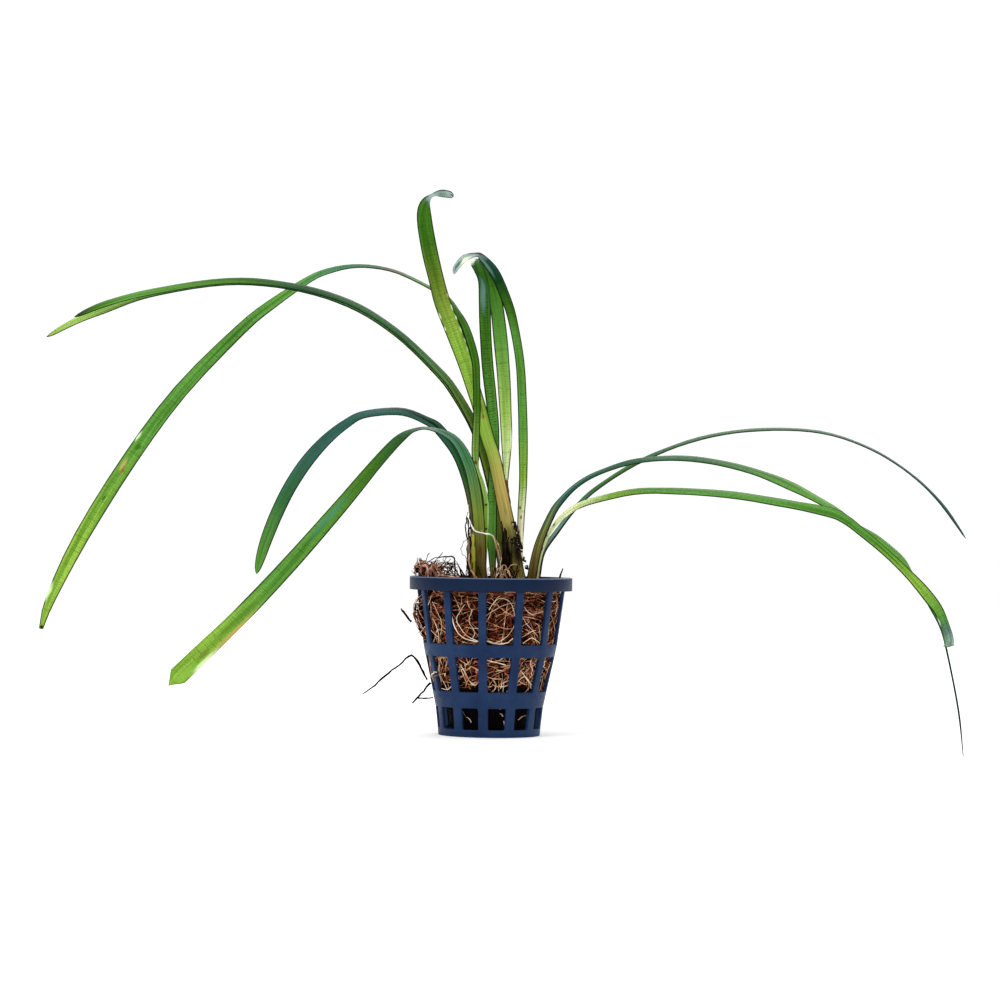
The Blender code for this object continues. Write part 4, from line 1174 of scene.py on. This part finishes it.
def build_pale_roots(ground, cream):
    """Pale living roots seen through the windows, and short pale pieces in the bottom windows that are
    painted glints.
    """

    def on_front(places, thickness, out=0.8):
        """A root over the front of the plug through points given as x and height."""
        line = []
        for x, z in smooth_stations(places, 5):
            near, normal, _, _ = ground.tree.ray_cast(Vector((x, -40.0, z)), Vector((0.0, 1.0, 0.0)))
            if near is None:
                near, normal, _, _ = ground.tree.find_nearest(Vector((x, -23.0, z)))
            line.append((near + normal * out, thickness))
        return line

    pale = [
        on_front([(-18.6, 46.5), (-20.2, 41.0), (-19.6, 36.0), (-16.2, 32.6)], 0.22),
        on_front([(-18.4, 44.0), (-16.8, 41.0), (-15.6, 37.5), (-15.6, 33.5)], 0.2),
        on_front([(-12.3, 40.6), (-11.0, 36.2), (-8.6, 33.0), (-4.0, 31.6)], 0.36),
        on_front([(-8.2, 43.5), (-10.4, 38.6), (-7.8, 34.0), (-3.8, 31.8)], 0.24),
        on_front([(-6.0, 42.0), (-6.6, 38.0), (-5.0, 34.6), (-5.6, 33.0)], 0.18),
        on_front([(-0.8, 31.8), (2.6, 31.0), (5.6, 31.6), (7.8, 33.4)], 0.4),
        on_front([(1.6, 31.4), (4.6, 33.0), (7.4, 37.0), (7.8, 42.0)], 0.24),
        on_front([(-0.4, 42.0), (2.4, 45.6), (6.0, 44.6), (7.6, 40.0)], 0.2),
        on_front([(10.4, 31.2), (13.0, 33.0), (15.6, 31.2)], 0.3),
        on_front([(10.6, 43.0), (13.0, 40.6), (16.4, 41.6)], 0.2),
        on_front([(-19.2, 18.5), (-17.0, 20.6), (-15.4, 21.2)], 0.34, 2.4),
        on_front([(-15.6, 15.8), (-13.2, 15.6), (-11.6, 17.0)], 0.32),
        on_front([(-2.0, 26.0), (1.5, 25.0), (5.0, 24.0)], 0.36),
        on_front([(-9.0, 24.0), (-6.4, 19.0), (-4.4, 17.2)], 0.3),
        on_front([(8.6, 18.0), (11.0, 20.4), (13.2, 17.4)], 0.3),
        on_front([(9.6, 22.4), (12.0, 19.0), (13.0, 16.4)], 0.28),
        # Painted glints: short pale pieces in the bottom windows, put where light shows through the gaps.
        on_front([(-7.0, 6.6), (-6.2, 6.2), (-5.6, 5.0)], 0.3),
        on_front([(3.3, 8.0), (4.0, 7.6), (4.2, 7.0)], 0.4),
        on_front([(4.4, 5.6), (5.0, 3.4)], 0.5),
        on_front([(9.0, 5.8), (10.2, 6.8), (11.4, 7.2)], 0.34),
        on_front([(-18.0, 8.8), (-17.2, 7.4), (-16.6, 4.4)], 0.34),
        on_front([(-17.0, 8.0), (-16.4, 6.4)], 0.5),
        on_front([(20.0, 20.5), (20.8, 18.0), (19.8, 16.0)], 0.24, 1.2),
        on_front([(18.6, 24.6), (20.2, 22.8), (20.6, 20.8)], 0.2, 1.2),
    ]

    def packed(place):
        return 20.0 < place.z < 47.0

    for _ in range(44):
        pale.append(ground.crawl(
            ground.somewhere(packed), random.uniform(5.0, 14.0), random.uniform(0.14, 0.26), 0.11, 0.55,
            steps=9,
        ))
    strands("pale_roots_and_glints", pale, cream, ["coir"], 1)


# Crown

def build_loose_roots(umber):
    """The roots that stand free of the plug, and the dark stub."""
    white = fibre_material("white root", "cfc8c0", "f6f2ee", "ffffff", 200.0, 0.5)
    roots = [
        ("forked_root_strand", FORKED_ROOT, umber, "root_dark", "forked_root"),
        ("upper_root_strand", UPPER_ROOT, umber, "root_dark", "upper_root"),
        ("lower_root_strand", LOWER_ROOT, umber, "root_dark", "lower_root"),
        ("side_root_strand", SIDE_ROOT, umber, "root_dark", "side_root"),
        ("arched_root_strand", ARCHED_ROOT, umber, "root_dark", "arched_root"),
        ("white_root_strand", WHITE_ROOT, white, "root_pale", "white_root"),
        ("dark_stub_strand", DARK_STUB, umber, "root_dark", "dark_stub"),
    ]
    for seed, (name, points, material, slot, node) in enumerate(roots):
        strands(name, [kinked(points, seed=float(seed))], material, [node], 1)


def dead_leaf_material(name, stops, length):
    """Dull, hardly see-through, with close walls and a faint margin."""
    return leaf_material(
        name, length, stops, walls=(1.2, 0.4), see_through=0.12, gloss=0.6, margin=0.4, seed=5.0,
    )


def build_sheaths(umber, tan):
    """The dead leaf bases round the foot, ragged, with loose strands drawn off them."""
    brown = dead_leaf_material("withered sheath", [
        (0.0, "24140c"), (0.4, "4a3020"), (0.6, "a08c7c"), (1.0, "1c120c"),
    ], 22.0)
    # The petiole's near-black is partly its own dead brown, partly painted shade in the dark gap between the
    # leaf bases.
    black = dead_leaf_material("dark petiole with painted shade", [(0.0, "0c0806"), (0.5, "080504"), (1.0, "33241a")], 21.0)
    olive = dead_leaf_material("withered twist", [(0.0, "3a2a1c"), (0.5, "8a7a60"), (1.0, "b4b070")], 18.0)
    straw = dead_leaf_material("yellow sheath", [(0.0, "7a7424"), (0.5, "98982f"), (1.0, "a8a24c")], 19.0)
    rusty = dead_leaf_material("brown sheath", [(0.0, "3a2414"), (0.5, "5a4426"), (1.0, "7a6034")], 24.0)
    sheaths = [
        ("old_petiole_stalk", OLD_PETIOLE, black, "dead_leaf_brown", "old_petiole", 1.6, 1.2),
        ("dead_sheath_strip", DEAD_SHEATH, brown, "dead_leaf_brown", "dead_sheath", 0.8, 0.4),
        ("yellow_sheath_strip", YELLOW_SHEATH, straw, "dead_leaf_straw", "yellow_sheath", 0.8, 0.4),
        ("twisted_sheath_strip", TWISTED_SHEATH, olive, "dead_leaf_brown", "twisted_sheath", 0.8, 0.4),
        ("brown_sheath_strip", BROWN_SHEATH, rusty, "dead_leaf_brown", "brown_sheath", 0.7, 0.4),
    ]
    for seed, (name, stations, material, slot, node, stalk, blade) in enumerate(sheaths):
        strap(
            name, stations, material, node, stalk, blade, parts=9, seed=9.0 + seed, ripple=7.0,
            ragged=0.7,
        )

    dark = [kinked(points, 5, 0.5, float(seed)) for seed, points in enumerate(SHEATH_STRANDS)]
    pale = [kinked(points, 5, 0.3, 20.0 + seed) for seed, points in enumerate(PALE_HAIRS)]
    for _ in range(CROWN_STRANDS):
        x = random.choice((random.uniform(-8.0, 8.5), random.uniform(0.5, 7.0)))
        y = random.uniform(-13.0, 3.0)
        lean = random.uniform(-3.0, 3.0)
        height = random.uniform(1.5, 7.0)
        points = [
            (x, y, 48.2, 0.4), (x + 0.4 * lean, y, 49.5 + 0.5 * height, 0.35),
            (x + lean, y - 0.5, 49.5 + height, 0.2), (x + 1.4 * lean, y - 1.0, 49.0 + 0.7 * height, 0.15),
        ]
        (dark if random.random() < 0.6 else pale).append(kinked(points, 3, 0.7, random.uniform(0.0, 50.0)))
    strands("crown_roots_dark", dark, umber)
    strands("crown_roots_tan", pale, tan)


def build_crumbs():
    """Crumbs of dirt caught on the tall middle leaf: one mesh of small lumps, knocked out of shape."""
    select_nothing()
    first = True
    for low, high, count, spread in CRUMB_BANDS:
        for _ in range(count):
            height = random.uniform(low, high)
            edge = EDGE_X - (height - EDGE_HEIGHT) * EDGE_LEAN
            place = Vector((edge + 0.15 - abs(random.gauss(0.0, spread)), random.uniform(-3.8, -1.2), height))
            radius = random.uniform(0.16, 0.48)
            bpy.ops.mesh.primitive_ico_sphere_add(
                subdivisions=1, radius=radius * MM, location=place * MM,
                rotation=(random.uniform(0.0, 3.0), random.uniform(0.0, 3.0), 0.0),
            )
            if first:
                crumbs = bpy.context.object
                bpy.ops.object.transform_apply(location=True, rotation=True, scale=True)
                bpy.ops.object.mode_set(mode="EDIT")
                first = False
    bpy.ops.mesh.select_all(action="SELECT")
    bpy.ops.transform.vertex_random(offset=0.16 * MM, uniform=1.0, seed=8)
    end_edit()
    finish_piece(crumbs, "leaf_dirt", dirt_material(), 30.0)


def build_leaves():
    """The eleven living leaves, from left to right."""
    strap("long_left_blade", LONG_LEFT_LEAF, leaf_material("long left leaf", 308.0, [
        # Darker at 0.42, over the arch, is painted shade from the leaf behind it.
        (0.0, OLIVE_BROWN), (0.06, SPRING_GREEN), (0.11, PALE_GREEN), (0.2, MOSS_GREEN), (0.38, MOSS_GREEN),
        (0.42, PINE_GREEN), (0.48, SEA_GREEN), (0.53, GRASS_GREEN), (0.76, GRASS_GREEN), (0.9, SPRING_GREEN),
        (1.0, SPRING_GREEN),
    ], walls=(2.4, 0.6), midrib=0.4, seed=1.0, smooth_foot=0.1, marks=[
        (0.139, 0.35, 0.8, 0.35, BROWN), (0.092, 0.4, 0.5, 0.4, DEEP_GREEN),
        (0.066, 0.4, 0.5, 0.4, DEEP_GREEN), (0.08, 0.95, 7.0, 0.3, GREEN_WHITE),
        (0.806, 0.47, 1.6, 0.1, RUST), (0.80, 0.66, 3.2, 0.16, STRAW),
        (0.775, 0.5, 1.8, 0.22, MOSS_GREEN), (0.765, 0.88, 2.5, 0.1, GREEN_WHITE),
        (0.842, 0.55, 1.4, 0.1, MOSS_GREEN), (0.96, 0.95, 4.0, 0.3, GREEN_WHITE),
        (0.998, 0.5, 0.9, 0.5, DARK_BROWN), (0.412, 0.5, 5.0, 0.6, BROWN),
    ]), "leaf_long_left", stalk=1.6, seed=1.0)
    strap("upper_left_blade", UPPER_LEFT_LEAF, leaf_material("upper left leaf", 211.0, [
        (0.0, OLIVE_BROWN), (0.14, OLIVE_GREEN), (0.45, PINE_GREEN), (0.62, DEEP_GREEN), (0.75, MOSS_GREEN),
        (0.9, GRASS_GREEN), (0.96, MOSS_GREEN), (1.0, NEAR_BLACK),
    ], walls=(3.2, 0.5), fine=(0.25, 1.0), see_through=0.25, seed=2.0, marks=[
        (0.38, 0.3, 14.0, 0.1, SEA_GREEN),
    ]), "leaf_upper_left", stalk=2.0, round_tip=4.0, seed=2.0)
    strap("upper_left_back_blade", UPPER_LEFT_BACK_LEAF, leaf_material("upper left back leaf", 223.0, [
        (0.0, OLIVE_BROWN), (0.14, OLIVE_GREEN), (0.45, GRASS_GREEN), (0.62, SEA_GREEN), (0.8, GRASS_GREEN),
        (0.95, PALE_GREEN), (1.0, SPRING_GREEN),
    ], walls=(3.2, 0.5), see_through=0.35, seed=3.0, marks=[
        (1.0, 0.5, 1.2, 1.0, NEAR_BLACK),
    ]), "leaf_upper_left_back", stalk=1.8, round_tip=3.0, seed=3.0)
    strap("short_left_blade", SHORT_LEFT_LEAF, leaf_material("short left leaf", 150.0, [
        (0.0, BROWN), (0.14, OLIVE_BROWN), (0.26, PINE_GREEN), (0.44, TEAL), (0.7, TEAL), (0.84, PINE_GREEN),
        (1.0, GRASS_GREEN),
    ], walls=(3.2, 0.4), fine=(0.2, 1.0), see_through=0.2, gloss=0.3, midrib=0.1, seed=4.0, marks=[
        # Painted shade: the two near-black lines along the arch are shade in creases of the blade.
        (0.41, 0.5, 9.0, 0.16, NEAR_BLACK), (0.47, 0.74, 10.0, 0.12, NEAR_BLACK),
    ]), "leaf_short_left", stalk=1.8, round_tip=2.5, seed=4.0)
    strap("front_left_blade", FRONT_LEFT_LEAF, leaf_material("front left leaf", 186.0, [
        (0.0, BROWN), (0.07, OLIVE_BROWN), (0.14, OLIVE_GREEN), (0.24, SEA_GREEN), (0.32, SLATE_GREEN),
        (0.40, PINE_GREEN), (0.48, MOSS_GREEN), (0.75, GRASS_GREEN), (0.9, SPRING_GREEN), (1.0, SPRING_GREEN),
    ], walls=(2.4, 0.6), midrib=0.35, seed=5.0, smooth_foot=0.28, marks=[
        (0.103, 0.6, 0.5, 0.35, DARK_BROWN), (0.106, 0.72, 0.5, 0.12, STRAW), (0.07, 0.5, 3.0, 0.2, BROWN),
        (0.60, 0.6, 12.0, 0.25, SEA_GREEN),
        (0.86, 0.1, 12.0, 0.16, STRAW), (0.93, 0.08, 7.0, 0.16, GREEN_WHITE),
        (0.965, 0.3, 5.0, 0.3, SPRING_GREEN), (0.92, 0.4, 3.0, 0.2, OLIVE_GREEN),
    ], pale_end=0.84), "leaf_front_left", stalk=3.0, seed=5.0, pointed_tip=4.0)
    strap("tall_middle_blade", TALL_MIDDLE_LEAF, leaf_material("tall middle leaf", 150.0, [
        (0.0, STRAW), (0.09, OLIVE_BROWN), (0.16, STRAW), (0.24, STRAW), (0.36, SPRING_GREEN),
        (0.57, SPRING_GREEN), (0.7, OLIVE_GREEN), (0.82, MOSS_GREEN), (0.91, MOSS_GREEN), (0.95, SLATE_GREEN),
        (1.0, SILVER),
    ], walls=(2.2, 0.6), midrib=0.12, seed=6.0, smooth_foot=0.42, marks=[
        (0.075, 0.0, 9.0, 0.5, NEAR_BLACK), (0.02, 0.15, 4.0, 0.3, DARK_BROWN),
        (0.09, 0.8, 6.0, 0.3, DARK_BROWN), (0.165, 0.55, 3.0, 0.2, STRAW),
        (0.405, 0.6, 1.3, 0.12, RUST), (0.425, 0.62, 3.0, 0.2, OLIVE_GREEN),
        (0.56, 0.90, 1.3, 0.05, GREEN_WHITE), (0.58, 0.93, 1.0, 0.05, GREEN_WHITE),
        (0.605, 0.92, 1.5, 0.05, GREEN_WHITE), (0.635, 0.94, 1.2, 0.05, GREEN_WHITE),
        (0.66, 0.92, 1.4, 0.05, GREEN_WHITE), (0.69, 0.93, 1.0, 0.06, STRAW),
        (0.62, 0.08, 1.0, 0.05, GREEN_WHITE), (0.65, 0.08, 1.6, 0.05, GREEN_WHITE),
        # The silver mark over the whole blade at 0.945, at the twist, is a painted highlight.
        (0.945, 0.5, 3.4, 0.9, SILVER), (0.996, 0.5, 0.5, 0.25, DARK_BROWN),
    ]), "leaf_tall_middle", stalk=3.2, stalk_length=70.0, round_tip=1.2, seed=6.0)
    strap("bent_back_blade", BENT_BACK_LEAF, leaf_material("bent back leaf", 193.0, [
        # Darker round 0.55, where the blade folds over at the top, is painted shade inside the fold.
        (0.0, STRAW), (0.06, GRASS_GREEN), (0.3, GRASS_GREEN), (0.44, MOSS_GREEN), (0.55, PINE_GREEN),
        (0.63, MOSS_GREEN), (0.75, GRASS_GREEN), (0.88, PALE_GREEN), (1.0, GREEN_WHITE),
    ], walls=(4.3, 0.6), fine=(1.0, 0.52), midrib=0.1, see_through=0.35, seed=7.0, smooth_foot=0.14, marks=[
        (0.51, 0.4, 8.0, 0.3, SLATE_GREEN), (0.53, 0.97, 12.0, 0.14, PINE_GREEN),
        # The off-white mark at 0.582, on the bend at the top, is a painted highlight.
        (0.582, 0.12, 2.4, 0.5, OFF_WHITE), (0.55, 0.6, 4.0, 0.35, MOSS_GREEN),
        (0.93, 0.9, 5.0, 0.1, OFF_WHITE),
    ]), "leaf_bent_back", stalk=1.4, across=Vector((1.0, 0.0, 0.0)), seed=7.0)
    strap("tall_right_blade", TALL_RIGHT_LEAF, leaf_material("tall right leaf", 127.0, [
        # The silver from 0.92 and the off-white mark at 0.955, over the curl at the top, are partly the
        # leaf's pale tip and partly painted sheen.
        (0.0, OFF_WHITE), (0.17, OFF_WHITE), (0.22, GREEN_WHITE), (0.29, SPRING_GREEN), (0.42, GRASS_GREEN),
        (0.66, GRASS_GREEN), (0.73, MOSS_GREEN), (0.82, DEEP_GREEN), (0.88, TEAL), (0.92, SILVER),
        (1.0, SILVER),
    ], walls=(3.9, 0.6), midrib=0.1, seed=8.0, smooth_foot=0.2, faint_foot=0.15, pale_end=0.94, marks=[
        (0.15, 0.25, 1.3, 0.2, BROWN), (0.19, 0.5, 0.9, 0.16, OLIVE_BROWN),
        (0.215, 0.3, 0.8, 0.2, OLIVE_BROWN), (0.12, 0.7, 0.8, 0.16, OLIVE_BROWN),
        # The slate mark at 0.875 is a painted highlight band along the inside of the curl.
        (0.875, 0.25, 6.0, 0.2, SLATE_GREEN),
        (0.914, 0.92, 3.2, 0.6, NEAR_BLACK), (0.955, 0.25, 3.5, 0.35, OFF_WHITE),
        (0.975, 0.5, 3.0, 0.3, SLATE_GREEN),
    ]), "leaf_tall_right", stalk=1.4, round_tip=1.6, seed=8.0)
    strap("long_right_blade", LONG_RIGHT_LEAF, leaf_material("long right leaf", 228.0, [
        (0.0, BROWN), (0.06, OLIVE_BROWN), (0.15, TEAL), (0.38, PINE_GREEN), (0.54, GRASS_GREEN),
        (0.74, GRASS_GREEN), (0.79, SEA_GREEN), (0.87, TEAL), (1.0, NEAR_BLACK),
    ], walls=(3.0, 0.4), see_through=0.25, midrib=0.15, seed=9.0, smooth_foot=0.3, marks=[
        (0.17, 0.4, 18.0, 0.12, SLATE_GREEN), (0.10, 0.55, 12.0, 0.14, OLIVE_GREEN),
    ]), "leaf_long_right", stalk=2.6, seed=9.0)
    strap("broad_right_blade", BROAD_RIGHT_LEAF, leaf_material("broad right leaf", 185.0, [
        (0.0, STRAW), (0.05, OFF_WHITE), (0.16, OFF_WHITE), (0.19, GREEN_WHITE), (0.25, SPRING_GREEN),
        (0.34, GRASS_GREEN), (0.76, GRASS_GREEN), (0.88, SPRING_GREEN), (0.95, GRASS_GREEN),
        (0.97, SLATE_GREEN), (1.0, SILVER),
    ], walls=(2.8, 0.5), see_through=0.45, midrib=0.15, seed=10.0, smooth_foot=0.18, faint_foot=0.18, marks=[
        (0.075, 0.5, 1.0, 0.2, PINE_GREEN), (0.10, 0.4, 0.8, 0.2, PINE_GREEN),
        (0.125, 0.5, 0.9, 0.2, PINE_GREEN), (0.80, 0.5, 12.0, 0.14, MOSS_GREEN),
        # The off-white sliver at 0.955 is a painted highlight along the edge.
        (0.80, 0.02, 13.0, 0.22, MOSS_GREEN), (0.955, 0.92, 1.8, 0.06, OFF_WHITE),
        (0.995, 0.45, 0.5, 0.1, TEAL),
    ], pale_end=0.97), "leaf_broad_right", stalk=1.6, seed=10.0, ragged_end=1.2)
    strap("thin_right_blade", THIN_RIGHT_LEAF, leaf_material("thin right leaf", 194.0, [
        (0.0, OLIVE_BROWN), (0.12, SLATE_GREEN), (0.22, PINE_GREEN), (0.6, PINE_GREEN), (0.78, TEAL),
        (1.0, TEAL),
    ], walls=(3.2, 0.4), see_through=0.25, midrib=0.15, seed=11.0, smooth_foot=0.15, marks=[
        (0.25, 0.5, 14.0, 0.14, MOSS_GREEN),
    ]), "leaf_thin_right", stalk=1.6, round_tip=3.0, seed=11.0)


# Stage

def build_stage():
    """A pale floor, soft light from a white room, and the camera."""
    select_nothing()
    bpy.ops.mesh.primitive_grid_add(
        x_subdivisions=4, y_subdivisions=4, size=FLOOR_SIZE, location=(0.0, 0.0, 0.0)
    )
    floor = bpy.context.object
    floor.name = "floor"
    material, tree = new_material("pale floor")
    end_tree(tree, put(tree, "ShaderNodeBsdfDiffuse", {"Color": FLOOR_COLOUR}).outputs[0])
    floor.data.materials.append(material)

    world = bpy.data.worlds.new("white room")
    world.use_nodes = True
    background = world.node_tree.nodes["Background"].inputs
    background["Color"].default_value = ROOM_COLOUR
    background["Strength"].default_value = ROOM_STRENGTH
    bpy.context.scene.world = world
    bpy.context.scene.view_settings.view_transform = "Standard"

    for name, place, size, power in LIGHTS:
        lamp = bpy.data.lights.new(name, "AREA")
        lamp.size = size
        lamp.energy = power
        holder = bpy.data.objects.new(name, lamp)
        holder.location = place
        holder.rotation_euler = (Vector(LIGHTS_AIM) - Vector(place)).to_track_quat("-Z", "Y").to_euler()
        bpy.context.scene.collection.objects.link(holder)

    lens = bpy.data.cameras.new("camera")
    lens.lens = CAMERA_LENS
    lens.sensor_width = SENSOR_WIDTH
    lens.clip_start = 0.01
    camera = bpy.data.objects.new("camera", lens)
    camera.location = Vector(CAMERA_PLACE) * MM
    camera.rotation_euler = (math.radians(90.0 + CAMERA_RISE), math.radians(CAMERA_ROLL), 0.0)
    bpy.context.scene.collection.objects.link(camera)
    bpy.context.scene.camera = camera


build_stage()
build_pot()
umber_root, tan_root = build_coir()
build_loose_roots(umber_root)
build_sheaths(umber_root, tan_root)
build_crumbs()
build_leaves()
